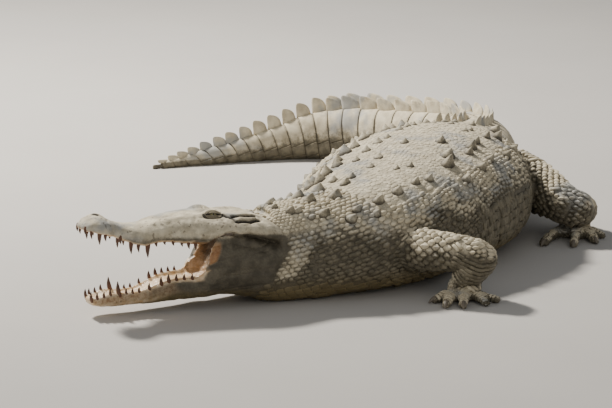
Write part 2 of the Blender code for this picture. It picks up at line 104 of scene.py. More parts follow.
def lumps(points, size, seed):
    """Smooth noise from -1 to 1 in lumps `size` across: one number, or one for each axis."""
    table = np.random.default_rng(seed).uniform(-1, 1, (32, 32, 32))
    place = points / np.asarray(size, float)
    low = np.floor(place).astype(int)
    part = place - low
    part = part * part * (3 - 2 * part)
    total = np.zeros(len(points))
    for corner in np.ndindex(2, 2, 2):
        weight = np.prod(np.where(corner, part, 1 - part), axis=1)
        total += weight * table[tuple(((low + corner) % 32).T)]
    return total


# Stations along the spine: x, y, half width, top, waist height, squareness above and below it.
STATIONS = np.array([
    (-0.455, -0.587, 0.118, 0.262, 0.115, 2.4, 2.8),  # nape
    (-0.345, -0.535, 0.150, 0.268, 0.115, 2.3, 2.8),  # neck
    (-0.235, -0.460, 0.200, 0.282, 0.125, 2.2, 2.8),  # collar
    (-0.145, -0.350, 0.250, 0.305, 0.130, 2.2, 2.8),  # shoulders
    (-0.065, -0.180, 0.300, 0.330, 0.140, 2.2, 2.8),  # ribs
    (0.015, 0.010, 0.325, 0.345, 0.142, 2.2, 2.8),  # middle of the belly
    (0.085, 0.210, 0.290, 0.335, 0.140, 2.2, 2.8),  # flanks
    (0.145, 0.400, 0.208, 0.300, 0.135, 2.4, 2.6),  # pelvis
    (0.200, 0.585, 0.146, 0.260, 0.125, 2.3, 2.4),  # root of the tail
    (0.228, 0.790, 0.116, 0.238, 0.112, 2.2, 2.4),
    (0.145, 1.005, 0.098, 0.215, 0.100, 2.4, 2.4),
    (-0.025, 1.160, 0.080, 0.193, 0.088, 2.6, 2.4),  # middle of the tail
    (-0.235, 1.270, 0.056, 0.166, 0.076, 2.2, 2.3),
    (-0.460, 1.240, 0.036, 0.100, 0.048, 2.0, 2.2),
    (-0.660, 1.168, 0.021, 0.050, 0.024, 2.0, 2.0),
    (-0.825, 1.092, 0.007, 0.016, 0.008, 2.0, 2.0),  # tip of the tail
])
STATION_AT = np.append(0, np.cumsum(np.hypot(*np.diff(STATIONS[:, :2], axis=0).T)))
PELVIS, TAIL_TIP = STATION_AT[7], STATION_AT[-1]
SPINE_AT = np.linspace(-0.08, TAIL_TIP, 620)
SPINE = through(STATION_AT, STATIONS, SPINE_AT)
SPINE_BACK = np.gradient(SPINE[:, :2], SPINE_AT, axis=0)
SPINE_BACK /= np.linalg.norm(SPINE_BACK, axis=1)[:, None]
SPINE_LEFT = np.stack([SPINE_BACK[:, 1], -SPINE_BACK[:, 0]], axis=1)
BODY_POINTS, HEAD_POINTS = 110, 120  # round a section
FIRST_ROW = 21  # of the spine in the skin; the rows before it lie inside the head


def body_ring(i):
    """The section at row i of the spine, sunk by the depth of the coat."""
    x, y, half_width, top, waist, upper, lower = SPINE[i]
    sunk = min(COAT_DEPTH, 0.25 * half_width)
    sizes = (half_width - sunk, top - sunk, waist, -FLAT, (upper, lower))
    lateral, height, _ = section(*sizes, BODY_POINTS)
    across = np.outer(lateral, SPINE_LEFT[i]) + (x, y)
    return np.column_stack([across, height])


# The head turns from -X towards -Y; the skull is lifted and the lower jaw slopes to the floor.
HEAD_LENGTH = 0.530
HEAD_YAW, HEAD_ROLL = math.radians(24), math.radians(3)
SKULL_PITCH, JAW_PITCH = math.radians(6), math.radians(-8)
HINGE = np.array((-0.462, -0.590, 0.155))
AHEAD = np.array([-math.cos(HEAD_YAW), -math.sin(HEAD_YAW), 0])
HEAD_LEFT = np.array([math.sin(HEAD_YAW), -math.cos(HEAD_YAW), 0]) * math.cos(HEAD_ROLL)
HEAD_LEFT[2] = math.sin(HEAD_ROLL)
HEAD_UP = np.cross(AHEAD, HEAD_LEFT)
# The skull: share of its length, half width, top, tooth row. Its section is widest at the waist,
# a share of the way up.
SKULL_WAIST, SKULL_SQUARENESS = 0.3, (2.5, 3.6)
SKULL = np.array([
    (-0.10, 0.114, 0.078, 0.016),
    (0.00, 0.122, 0.086, 0.026),
    (0.10, 0.126, 0.090, 0.040),
    (0.20, 0.121, 0.092, 0.046),
    (0.27, 0.113, 0.092, 0.040),
    (0.33, 0.104, 0.092, 0.014),
    (0.40, 0.093, 0.090, 0.006),
    (0.50, 0.079, 0.082, 0.008),
    (0.57, 0.072, 0.073, 0.009),
    (0.63, 0.069, 0.063, 0.004),
    (0.685, 0.067, 0.056, -0.001),
    (0.74, 0.059, 0.055, 0.004),
    (0.80, 0.046, 0.058, 0.014),
    (0.86, 0.051, 0.067, 0.022),
    (0.91, 0.056, 0.072, 0.028),
    (0.95, 0.053, 0.069, 0.032),
    (0.98, 0.040, 0.060, 0.036),
    (1.00, 0.020, 0.051, 0.040),
])
# The lower jaw: share of the head's length, half width, top of the tooth row, underside.
JAW_WAIST, JAW_SQUARENESS = 0.60, (3.4, 2.6)
JAW = np.array([
    (-0.10, 0.116, 0.010, -0.170),
    (0.00, 0.122, 0.030, -0.160),
    (0.08, 0.123, 0.055, -0.142),
    (0.16, 0.118, 0.075, -0.126),
    (0.23, 0.110, 0.086, -0.115),
    (0.27, 0.104, 0.080, -0.111),
    (0.31, 0.097, 0.050, -0.108),
    (0.35, 0.089, -0.006, -0.105),
    (0.38, 0.084, -0.024, -0.102),
    (0.42, 0.076, -0.026, -0.100),
    (0.47, 0.068, -0.022, -0.096),
    (0.54, 0.058, -0.020, -0.092),
    (0.65, 0.045, -0.031, -0.086),
    (0.74, 0.037, -0.034, -0.078),
    (0.81, 0.040, -0.026, -0.072),
    (0.87, 0.043, -0.022, -0.067),
    (0.93, 0.037, -0.026, -0.059),
    (0.96, 0.027, -0.026, -0.052),
    (0.975, 0.014, -0.030, -0.044),
])
# Raised forms on the skull: place along it, off the midline, height, reach along and across.
SKULL_FORMS = [
    (0.915, 0.000, 0.010, 0.038, 0.032),  # nostril disc
    (0.440, 0.000, 0.003, 0.070, 0.035),  # boss in front of the eyes
    (0.300, 0.046, 0.004, 0.050, 0.018),  # orbits
    (0.290, 0.000, -0.008, 0.060, 0.020),  # hollow between them
    (0.100, 0.058, 0.006, 0.070, 0.018),  # side edges of the skull table
]


def head_point(along, lateral, height, pitch):
    """Points at metres along, beside and above the hinge, in the skull's or the jaw's frame."""
    c, s = math.cos(pitch), math.sin(pitch)
    reach, rise = along * c - height * s, along * s + height * c
    return HINGE + np.outer(reach, AHEAD) + np.outer(lateral, HEAD_LEFT) + np.outer(rise, HEAD_UP)


def head_place(points, pitch):
    """Share of the head's length, lateral and height, in the skull's or the jaw's frame."""
    off = np.asarray(points, float) - HINGE
    reach, lateral, rise = off @ AHEAD, off @ HEAD_LEFT, off @ HEAD_UP
    c, s = math.cos(pitch), math.sin(pitch)
    return np.column_stack([(reach * c + rise * s) / HEAD_LENGTH, lateral, rise * c - reach * s])


def sizes_of(table, share):
    """The smooth sizes of the skull or the jaw at one share of the length."""
    return through(table[:, 0], table[:, 1:], share)[0]


def skull_ring(share):
    """The skull's section, with its raised forms and the hollow of the palate."""
    half_width, top, row = sizes_of(SKULL, share)
    waist = row + SKULL_WAIST * (top - row)
    lateral, height, _ = section(half_width, top, waist, row, SKULL_SQUARENESS, HEAD_POINTS)
    upward = np.clip((height - row) / (top - row) * 2 - 1, 0, 1)
    for place, off, rise, reach, spread in SKULL_FORMS:
        along = (share - place) * HEAD_LENGTH / reach / 0.7
        away = along**2 + ((np.abs(lateral) - off) / spread) ** 2
        height = height + rise * upward * np.exp(-away)
    palate = np.clip(1 - (np.abs(lateral) / (0.74 * half_width)) ** 4, 0, 1)
    palate *= height < row + 0.2 * (top - row)
    height = height + np.interp(share, (0.33, 0.42, 0.9, 0.97), (0, 0.010, 0.008, 0)) * palate
    return head_point(np.full(HEAD_POINTS, share * HEAD_LENGTH), lateral, height, SKULL_PITCH)


def jaw_ring(share):
    """The jaw's section: a channel for the tongue, and behind it the throat between its folds."""
    half_width, top, under = sizes_of(JAW, share)
    waist = under + JAW_WAIST * (top - under)
    lateral, height, _ = section(half_width, top, waist, under, JAW_SQUARENESS, HEAD_POINTS)
    deep = np.interp(share, (0.30, 0.36, 0.60, 0.90, 0.96), (0, 0.030, 0.020, 0.012, 0))
    inside = np.clip(1 - (np.abs(lateral) / (0.78 * half_width)) ** 4, 0, 1)
    inside *= height > under + 0.65 * (top - under)
    height = height - deep * inside
    tongue = ease(0.33, 0.42, share) * ease(0.84, 0.72, share) * inside
    dome = np.clip(1 - (np.abs(lateral) / (0.62 * half_width)) ** 2, 0, 1) ** 0.6
    height = height + tongue * (0.011 * dome - 0.002 * np.exp(-((lateral / 0.004) ** 2)))
    throat = np.interp(share, (0.15, 0.22, 0.30, 0.36, 0.40), (0.09, 0.00, -0.046, -0.056, 0.09))
    between_folds = np.clip(1 - (np.abs(lateral) / (0.80 * half_width)) ** 6, 0, 1)
    height = np.where(height > throat, height + (throat - height) * between_folds, height)
    slack = np.interp(share, (0.21, 0.26, 0.31, 0.36, 0.40), (0.09, 0.02, -0.010, -0.022, -0.020))
    height = np.where(lateral < 0, np.minimum(height, slack), height)  # the right fold hangs slack
    return head_point(np.full(HEAD_POINTS, share * HEAD_LENGTH), lateral, height, JAW_PITCH)


# Paths of the limbs: x, y, z, sideways radius, upright radius.
LIMBS = {
    "foreleg_left_upper": [
        (-0.12, -0.465, 0.120, 0.070, 0.072),
        (0.03, -0.570, 0.130, 0.058, 0.055),
        (0.165, -0.638, 0.137, 0.047, 0.044),
    ],
    "foreleg_left_lower": [
        (0.170, -0.636, 0.142, 0.046, 0.046),
        (0.155, -0.615, 0.100, 0.058, 0.048),
        (0.122, -0.592, 0.048, 0.048, 0.032),
    ],
    "foreleg_right_upper": [
        (-0.28, -0.290, 0.120, 0.068, 0.070),
        (-0.37, -0.225, 0.120, 0.056, 0.055),
        (-0.445, -0.150, 0.105, 0.046, 0.044),
    ],
    "foreleg_right_lower": [
        (-0.450, -0.142, 0.106, 0.046, 0.046),
        (-0.460, -0.185, 0.080, 0.055, 0.046),
        (-0.468, -0.240, 0.046, 0.046, 0.032),
    ],
    "hindleg_left_thigh": [
        (0.210, 0.420, 0.168, 0.090, 0.085),
        (0.350, 0.260, 0.142, 0.080, 0.078),
        (0.468, 0.078, 0.104, 0.056, 0.053),
    ],
    "hindleg_left_shank": [
        (0.482, 0.070, 0.104, 0.054, 0.056),
        (0.500, 0.160, 0.080, 0.056, 0.046),
        (0.505, 0.262, 0.050, 0.042, 0.036),
    ],
    "hindleg_right_thigh": [
        (0.045, 0.470, 0.165, 0.090, 0.085),
        (-0.110, 0.420, 0.145, 0.084, 0.080),
        (-0.235, 0.310, 0.105, 0.058, 0.056),
    ],
    "hindleg_right_shank": [
        (-0.240, 0.300, 0.103, 0.054, 0.054),
        (-0.235, 0.390, 0.080, 0.054, 0.045),
        (-0.205, 0.490, 0.050, 0.042, 0.036),
    ],
}
FOOT_PATHS = {
    "forefoot": [
        (0.122, -0.570, 0.044, 0.044, 0.030),
        (0.125, -0.600, 0.024, 0.050, 0.027),
        (0.123, -0.636, 0.014, 0.046, 0.020),
    ],
    "hindfoot": [
        (0.505, 0.285, 0.032, 0.034, 0.037),
        (0.498, 0.210, 0.026, 0.040, 0.031),
        (0.482, 0.120, 0.015, 0.052, 0.021),
    ],
}
TOE_TIPS = {  # inner toe first: x, y, height at the knuckle
    "forefoot": [
        (0.040, -0.655, 0.030),
        (0.070, -0.706, 0.032),
        (0.118, -0.712, 0.032),
        (0.184, -0.692, 0.028),
        (0.216, -0.652, 0.026),
    ],
    "hindfoot": [
        (0.390, 0.022, 0.030),
        (0.478, 0.006, 0.032),
        (0.546, 0.052, 0.030),
        (0.574, 0.118, 0.026),
    ],
}
RIGHT_FEET = {
    "forefoot": ((-0.468, -0.226), math.radians(218)),
    "hindfoot": ((-0.202, 0.510), math.radians(238)),
}
LEFT_HEADING = {"forefoot": math.radians(266), "hindfoot": math.radians(262)}


def carried_over(points, kind):
    """The left foot's points, mirrored to where the right foot stands."""
    home = np.array(FOOT_PATHS[kind][0][:2])
    (there_x, there_y), heading = RIGHT_FEET[kind]
    result = []
    for x, y, *rest in points:
        x, y = x - home[0], y - home[1]
        reach, angle = np.hypot(x, y), heading - (math.atan2(y, x) - LEFT_HEADING[kind])
        place = (there_x + reach * math.cos(angle), there_y + reach * math.sin(angle))
        result.append((*place, *rest))
    return result


def tube(path, radii, along, around, cap=0.5):
    """Rings round a path, closed by a dome at both ends; radii are sideways and upright."""
    path, radii = np.array(path, float), np.array(radii, float)
    travel = np.append(0, np.cumsum(np.linalg.norm(np.diff(path, axis=0), axis=1)))
    places = np.linspace(0, travel[-1], along)
    centres, sizes = through(travel, path, places), through(travel, radii, places)
    heading = np.gradient(centres, axis=0)
    heading /= np.linalg.norm(heading, axis=1)[:, None]
    first, last = centres[0], centres[-1]
    ends = [(0.92, 0.30), (0.72, 0.62), (0.40, 0.90), (0.10, 1.0)]  # of a dome: size, reach
    rows = [(first - heading[0] * reach * cap * sizes[0].mean(), heading[0], sizes[0] * size)
            for size, reach in reversed(ends)]
    rows += list(zip(centres, heading, sizes))
    rows += [(last + heading[-1] * reach * cap * sizes[-1].mean(), heading[-1], sizes[-1] * size)
             for size, reach in ends]
    turn = np.linspace(0, 2 * math.pi, around, endpoint=False)
    rings = []
    for centre, ahead, (side_radius, up_radius) in rows:
        side = np.cross(ahead, (0, 0, 1))
        side /= np.linalg.norm(side)
        sideways = np.outer(np.cos(turn) * side_radius, side)
        rings.append(centre + sideways + np.outer(np.sin(turn) * up_radius, np.cross(side, ahead)))
    return rings


def toe_path(path, tip_x, tip_y, knuckle):
    """A toe from its root in the foot over the knuckle to its tip."""
    (x, y, z, wide, _), back = path[2], np.array(path[1][:2]) - np.array(path[2][:2])
    across = np.array([-back[1], back[0]]) / np.linalg.norm(back)
    tip = np.array([tip_x, tip_y])
    beside = np.clip(np.dot(tip - (x, y), across), -0.7 * wide, 0.7 * wide)
    root = np.array([x, y]) + across * beside + 0.35 * back
    return [(*root, z), (*(root + 0.5 * (tip - root)), knuckle - 0.012), (*tip, 0.009)]


FEET = {}  # name: its path and its toes' paths
for kind in ("forefoot", "hindfoot"):
    for side in ("left", "right"):
        path, tips = FOOT_PATHS[kind], TOE_TIPS[kind]
        if side == "right":
            path, tips = carried_over(path, kind), carried_over(tips, kind)
        FEET[f"{kind}_{side}"] = (path, [toe_path(path, *tip) for tip in tips])
TOE_SIZES = [(0.0165, 0.0165), (0.0155, 0.0145), (0.0105, 0.0095)]

shells = [[body_ring(i) for i in range(FIRST_ROW, len(SPINE_AT), 2)]]
shells.append([skull_ring(share) for share in np.linspace(-0.10, 1.0, 190)])
shells.append([jaw_ring(share) for share in np.linspace(-0.10, 0.975, 190)])
for name, path in LIMBS.items():
    path = np.array(path)
    shells.append(tube(path[:, :3], path[:, 3:] - COAT_DEPTH, 24, 48))
for path, toes in FEET.values():
    path = np.array(path)
    shells.append(tube(path[:, :3], path[:, 3:] - 0.001, 16, 40))
    for toe in toes:
        shells.append(tube(toe, TOE_SIZES, 18, 24, cap=0.8))


def closed_shells(shells):
    """Points and faces of lofts over rings, each closed with one face on each end."""
    points, faces, first = [], [], 0
    for rings in shells:
        count, many = len(rings[0]), len(rings) * len(rings[0])
        grid = first + np.arange(many).reshape(len(rings), count)
        turned = np.roll(grid, -1, axis=1)
        quads = np.stack([grid[:-1], turned[:-1], turned[1:], grid[1:]], axis=-1).reshape(-1, 4)
        faces += quads.tolist() + [grid[0, ::-1].tolist(), grid[-1].tolist()]
        points.append(np.vstack(rings))
        first += many
    return np.vstack(points), faces


def new_object(name, points, faces):
    """A mesh object at the origin, its faces turned outwards."""
    mesh = bpy.data.meshes.new(name)
    mesh.from_pydata(np.asarray(points).tolist(), [], faces)
    shape = bmesh.new()
    shape.from_mesh(mesh)
    bmesh.ops.recalc_face_normals(shape, faces=shape.faces)
    shape.to_mesh(mesh)
    shape.free()
    mesh.shade_smooth()
    obj = bpy.data.objects.new(name, mesh)
    bpy.context.scene.collection.objects.link(obj)
    return obj


def settled(obj):
    """Turns what the object's modifiers make of it into its plain mesh."""
    graph = bpy.context.evaluated_depsgraph_get()
    old, obj.data = obj.data, bpy.data.meshes.new_from_object(obj.evaluated_get(graph))
    obj.modifiers.clear()
    bpy.data.meshes.remove(old)
    obj.data.name = obj.name
    return obj


def read(layer, field, wide=1, kind=np.float32):
    """One field of all the points, edges or corners of a mesh, in rows if it is wide."""
    values = np.empty(len(layer) * wide, kind)
    layer.foreach_get(field, values)
    return values.reshape(-1, wide) if wide > 1 else values


def points_of(mesh):
    return read(mesh.vertices, "co", 3).astype(float)


def normals_of(mesh):
    return read(mesh.vertex_normals, "vector", 3).astype(float)


def move_points(mesh, points):
    mesh.vertices.foreach_set("co", points.astype(np.float32).ravel())
    mesh.update()


skin = new_object("skin", *closed_shells(shells))
fuse = skin.modifiers.new("Fuse", "REMESH")
fuse.mode, fuse.voxel_size, fuse.use_smooth_shade = "VOXEL", VOXEL, True
settled(skin)

# The eyes need a finer mesh for their lids.
EYE_RADIUS, EYE_SHARE, EYE_LATERAL, EYE_HEIGHT = 0.0185, 0.303, 0.049, 0.0805
SIDES = (1, -1)  # left and right
EYES = [
    head_point(EYE_SHARE * HEAD_LENGTH, side * EYE_LATERAL, EYE_HEIGHT, SKULL_PITCH)[0]
    for side in SIDES
]
LID_ZONE = 0.037


def refine(obj, centres, radius, cuts):
    """Cuts the faces near the centres into smaller ones."""
    shape = bmesh.new()
    shape.from_mesh(obj.data)
    centres = [Vector(centre) for centre in centres]
    edges = [
        edge for edge in shape.edges
        if any((edge.verts[0].co - centre).length_squared < radius**2 for centre in centres)
    ]
    bmesh.ops.subdivide_edges(shape, edges=edges, cuts=cuts, use_grid_fill=True)
    shape.to_mesh(obj.data)
    shape.free()


refine(skin, EYES, LID_ZONE, 2)


def smoothed(points, edges, amount, times):
    """Each point drawn towards the middle of its neighbours."""
    a, b = edges.T
    count = np.bincount(edges.ravel(), minlength=len(points))
    for _ in range(times):
        total = np.column_stack([
            np.bincount(a, points[b, k], len(points)) + np.bincount(b, points[a, k], len(points))
            for k in range(3)
        ])
        points = points + amount[:, None] * (total / count[:, None] - points)
    return points


def near_lines(place, start, stop):
    """Distance of places from a straight line between two points, all in metres."""
    way = np.subtract(stop, start)
    t = np.clip((place - start) @ way / (way @ way), 0, 1)
    return np.linalg.norm(place - start - t[:, None] * way, axis=1)


# Ridges (+) and grooves (-) on both sides of the skull: two ends as (share of its length, off the
# midline, height), how wide and how high.
HEAD_LINES = [
    ((0.360, 0.052, 0.095), (0.250, 0.058, 0.098), 0.0065, 0.0020),  # brow
    ((0.250, 0.058, 0.094), (0.060, 0.064, 0.092), 0.0090, 0.0034),  # edge of the skull table
    ((0.200, 0.074, 0.089), (0.080, 0.071, 0.089), 0.0052, -0.0110),  # slit above the ear flap
    ((0.170, 0.088, 0.085), (0.085, 0.084, 0.085), 0.0070, 0.0040),  # ear flap
    ((0.200, 0.102, 0.079), (0.125, 0.103, 0.079), 0.0055, -0.0095),  # slit below the ear flap
    ((0.125, 0.103, 0.079), (0.062, 0.090, 0.081), 0.0055, -0.0085),
    ((0.245, 0.064, 0.091), (0.190, 0.102, 0.079), 0.0060, -0.0080),  # groove from eye to ear
    ((0.375, 0.066, 0.084), (0.250, 0.079, 0.086), 0.0045, -0.0030),  # groove below the lids
    ((0.375, 0.050, 0.090), (0.620, 0.040, 0.062), 0.0110, 0.0028),  # ridge from eye to snout
    ((0.370, 0.098, 0.040), (0.190, 0.120, 0.050), 0.0110, 0.0040),  # lower edge of the cheek bar
    ((0.190, 0.120, 0.050), (0.020, 0.122, 0.036), 0.0110, 0.0040),
    ((0.220, 0.112, 0.070), (0.050, 0.114, 0.066), 0.0120, -0.0035),  # hollow above the cheek bar
    ((0.300, 0.112, 0.014), (0.190, 0.122, 0.024), 0.0170, -0.0110),  # recess under the cheek bar
    ((0.190, 0.122, 0.024), (0.020, 0.124, 0.004), 0.0170, -0.0110),
    ((0.270, 0.108, -0.048), (0.130, 0.124, -0.050), 0.0045, -0.0030),  # crease behind the mouth
    ((0.815, 0.050, 0.018), (0.815, 0.044, 0.040), 0.0110, -0.0060),  # notch for the fourth tooth
    ((0.918, 0.056, 0.034), (0.918, 0.054, 0.046), 0.0120, 0.0030),  # swellings over large teeth
    ((0.742, 0.059, 0.010), (0.742, 0.057, 0.026), 0.0100, 0.0030),
    ((0.668, 0.068, 0.006), (0.668, 0.066, 0.026), 0.0130, 0.0035),
    ((0.930, 0.010, 0.084), (0.912, 0.015, 0.082), 0.0042, -0.0060),  # nostrils
]
AS_METRES = np.array([HEAD_LENGTH, 1, 1])
HEAD_LINES = [
    (np.array(start) * AS_METRES, np.array(stop) * AS_METRES, wide, high)
    for start, stop, wide, high in HEAD_LINES
]
NOSTRIL = HEAD_LINES[-1]
SLITS = [HEAD_LINES[2], *HEAD_LINES[4:7]]
RECESS = HEAD_LINES[12:14]


def one_side(skull):
    """Places on the skull in metres, with the right side folded onto the left."""
    return np.column_stack([skull[:, 0], np.abs(skull[:, 1]), skull[:, 2]]) * AS_METRES


def eye_axes(side):
    """The ways ahead along an eye, up over it and out of it."""
    out = 0.72 * side * HEAD_LEFT + 0.69 * HEAD_UP
    out /= np.linalg.norm(out)
    ahead = AHEAD * math.cos(SKULL_PITCH) + HEAD_UP * math.sin(SKULL_PITCH)
    out -= ahead * (out @ ahead)
    out /= np.linalg.norm(out)
    return ahead, np.cross(ahead, out) * side, out


def lid_place(points, eye, side):
    """Places round an eye in metres: along it, up over it and out of it."""
    ahead, up, out = eye_axes(side)
    off = points - eye
    return np.column_stack([off @ ahead, off @ up, off @ out])


LID_LONG, LID_TALL, LID_OUT = 0.038, 0.0240, 0.0208
SLIT_HALF, SLIT_BELOW = 0.0215, 0.0015  # half the slit's length, how far below the middle it is
MOAT_AT = 0.74  # share of the way out where a groove runs round the lids


def lid_share(place):
    """0 in the middle of the lids and 1 on their rim."""
    return (place[:, 0] / LID_LONG) ** 2 + (place[:, 1] / LID_TALL) ** 2


def press_in(points, normals):
    """Moves the points of the skin out or in by the folds, ridges, lids and roughness."""
    skull = head_place(points, SKULL_PITCH)
    in_head = ease(-0.06, 0.0, skull[:, 0])
    height = np.zeros(len(points))
    metres = one_side(skull)
    for start, stop, wide, high in HEAD_LINES:
        away = near_lines(metres, start, stop)
        height += high * np.exp(-((away / wide) ** 2))
    # Head: rough bone under thin skin, small pits, fine level wrinkles at the back of the jaw.
    jaw = head_place(points, JAW_PITCH)
    back_jaw = in_head * ease(0.45, 0.30, jaw[:, 0]) * ease(0.055, 0.02, skull[:, 2])
    height += in_head * (0.0008 * lumps(points, 0.014, 1) + 0.0006 * lumps(points, 0.0075, 2))
    pits = lumps(points, 0.016, 3)
    height -= in_head * (1 - back_jaw) * 0.0016 * ease(0.52, 0.75, pits)
    height -= back_jaw * 0.0024 * ease(0.65, 1.0, 1 - np.abs(lumps(jaw, (0.20, 0.05, 0.013), 4)))
    # Body: loose folds down the neck and flank, soft lumps of flesh.
    body = 1 - in_head
    low = ease(0.24, 0.10, points[:, 2])
    height += body * (0.0030 * lumps(points, 0.11, 5) + 0.0012 * lumps(points, 0.035, 6))
    creases = 1 - np.abs(lumps(points, (0.055, 0.055, 0.20), 7))
    height -= body * low * 0.0035 * ease(0.55, 0.95, creases)
    points = points + normals * height[:, None]
    # Lids: a long dome on each eye with a narrow slit through which the eye shows.
    for eye, side in zip(EYES, SIDES):
        place = lid_place(points, eye, side)
        inside = lid_share(place)
        near = (inside < 1) & (place[:, 2] > 0)
        dome = LID_OUT * np.sqrt(np.clip(1 - inside, 0, 1))
        rise = np.clip(dome - place[:, 2], 0, None)
        moat = -0.0022 * np.exp(-(((np.sqrt(inside) - MOAT_AT) / 0.08) ** 2))
        folds = 0.0005 * np.sin(inside * 34) * ease(0.5, 0.3, inside) * ease(0.05, 0.12, inside)
        line = place[:, 1] + SLIT_BELOW
        gap = 0.0020 * np.clip(1 - (place[:, 0] / SLIT_HALF) ** 2, 0, 1)
        slit = ease(1.9, 0.6, np.abs(line) / np.maximum(gap, 1e-6)) * (gap > 0)
        move = np.where(near, np.where(rise > 0, rise + folds, moat) - 0.0052 * slit, 0)
        points = points + np.outer(move, eye_axes(side)[2])
    return points


points, edges = points_of(skin.data), read(skin.data.edges, "vertices", 2, np.int32)
near_joint = np.zeros(len(points))
for joint in [path[0] for path in LIMBS.values()] + [path[-1] for path in LIMBS.values()]:
    away = np.linalg.norm(points - np.array(joint[:3]), axis=1)
    near_joint = np.maximum(near_joint, ease(0.15, 0.08, away))
nape = head_place(points, SKULL_PITCH)[:, 0]
near_joint = np.maximum(near_joint, 0.8 * ease(0.10, 0.03, np.abs(nape + 0.07)))
amount = 0.5 * near_joint * (1 - ease(-0.06, 0.0, nape))
points = smoothed(points, edges, amount, 30)
points = smoothed(points, edges, np.full(len(points), 0.5), 2)
move_points(skin.data, points)
points = press_in(points, normals_of(skin.data))
points[:, 2] = np.maximum(points[:, 2], 0)
move_points(skin.data, points)

# Thin the mesh, least of all on the head.
total = sum(len(face.vertices) - 2 for face in skin.data.polygons)
if total > SKIN_TRIANGLES:
    group = skin.vertex_groups.new(name="thin")
    place = head_place(points, SKULL_PITCH)
    finest = np.min([np.linalg.norm(points - eye, axis=1) for eye in EYES], axis=0) < 0.045
    weight = np.where(finest, 0.05, np.where(place[:, 0] > 0, 0.35, 1.0))
    for value in np.unique(weight):
        group.add(np.flatnonzero(weight == value).tolist(), float(value), "REPLACE")
    thin = skin.modifiers.new("Thin", "DECIMATE")
    thin.ratio, thin.vertex_group = SKIN_TRIANGLES / total, "thin"
    thin.vertex_group_factor = 1.0
    settled(skin)
    skin.vertex_groups.clear()


def set_values(mesh, name, values, kind="FLOAT"):
    """A named value (or vector) at each vertex."""
    layer = mesh.attributes.get(name) or mesh.attributes.new(name, kind, "POINT")
    field = "value" if kind == "FLOAT" else "vector"
    layer.data.foreach_set(field, np.asarray(values, np.float32).ravel())


BARE_TO = np.array([  # height, and the share of the skull's length where the neck's scales begin
    (-0.110, 0.050),
    (-0.082, -0.015),
    (-0.030, -0.080),
    (0.016, -0.108),
    (0.050, -0.070),
    (0.080, 0.010),
])


def bare(skull, soft=0.014):
    """1 on the smooth skin of the head, 0 where the scales of the neck begin."""
    border = np.interp(skull[:, 2], *BARE_TO.T)
    uneven = 0.010 * lumps(skull, (0.06, 0.03, 0.03), 22)
    return ease(border - soft, border + soft, skull[:, 0] + uneven)


def marks(points, normals):
    """How much pale dry mud lies on the hide, less of it as painted shade on the foot of the tail
    and the outer hind legs, and how warm and yellow it is.
    """
    skull, jaw = head_place(points, SKULL_PITCH), head_place(points, JAW_PITCH)
    share, height = skull[:, 0], skull[:, 2]
    in_head = bare(skull, 0.03)
    nearest = nearest_spine(points)
    off_side = np.linalg.norm(points[:, :2] - SPINE[nearest, :2], axis=1) / SPINE[nearest, 2]
    on_tail = ease(PELVIS + 0.1, PELVIS + 0.35, SPINE_AT[nearest])
    level = points[:, 2] / np.maximum(SPINE[nearest, 3], 0.05)
    faces_up = ease(-0.25, 0.75, normals[:, 2])
    patchy = lumps(points, 0.09, 21) / 2
    # Thick on the back, less on the sides, and none on the foot of the tail, which is left dark
    # as painted shade.
    dust = faces_up * ease(0.30, 0.95, level + 0.35 * patchy)
    tail_dust = np.clip(0.45 + 0.45 * faces_up + 0.3 * patchy, 0, 1)
    dust = dust * (1 - on_tail) + on_tail * tail_dust
    dust *= 1 - 0.9 * on_tail * ease(0.50, 0.30, level)
    # The front legs are dustier than the hind ones, whose outer parts are left dark as
    # painted shade.
    on_limb = ease(1.05, 1.25, off_side) * (1 - in_head)
    limb_dust_and_shade = np.clip(0.26 + 0.55 * faces_up + 0.5 * patchy, 0, 1)
    limb_dust_and_shade *= 1 - 0.75 * ease(0.0, 0.2, points[:, 1]) * ease(1.45, 2.0, off_side)
    dust = dust * (1 - on_limb) + on_limb * limb_dust_and_shade
    # The top of the head is dusty, and so is a collar behind the jaw.
    skull_side = ease(-0.01, 0.03, height)
    head_dust = skull_side * np.clip(0.62 + 0.42 * ease(-0.2, 0.6, normals[:, 2]), 0, 1)
    head_dust = np.maximum(head_dust, 0.35 * ease(0.5, 0.7, share))
    dust = dust * (1 - in_head) + head_dust * in_head
    border = np.interp(height, *BARE_TO.T)
    collar = ease(border - 0.15, border - 0.08, share) * (1 - in_head)
    collar *= ease(0.05, 0.02, height) * ease(-0.10, -0.07, height)
    dust = np.maximum(dust, 0.72 * collar)
    # Warm under the belly, along the underside of the jaw and on the end of the snout.
    warm = (1 - in_head) * ease(0.09, 0.02, points[:, 2])
    warm *= (1 - on_tail) * ease(1.12, 0.98, off_side)
    above = jaw[:, 2] - np.interp(jaw[:, 0], JAW[:, 0], JAW[:, 3])
    warm = np.maximum(warm, in_head * ease(0.042, 0.012, above + 0.012 * patchy))
    warm = np.maximum(warm, 0.7 * in_head * ease(0.93, 1.0, share) * skull_side)
    return dust, warm


def nearest_spine(points):
    """The row of the spine that each point is beside."""
    result = np.empty(len(points), int)
    for first in range(0, len(points), 20000):
        part = points[first : first + 20000, None, :2]
        away = ((part - SPINE[None, :, :2]) ** 2).sum(2)
        result[first : first + 20000] = np.argmin(away, axis=1)
    return result


points, normals = points_of(skin.data), normals_of(skin.data)
dust, warm = marks(points, normals)
skull, jaw = head_place(points, SKULL_PITCH), head_place(points, JAW_PITCH)
(share, lateral, height), (jaw_share, _, jaw_height) = skull.T, jaw.T
off_middle = np.abs(lateral)
skull_wide, row = (np.interp(share, SKULL[:, 0], SKULL[:, k]) for k in (1, 3))
jaw_wide, jaw_row = (np.interp(jaw_share, JAW[:, 0], JAW[:, k]) for k in (1, 2))
facing = normals @ HEAD_UP

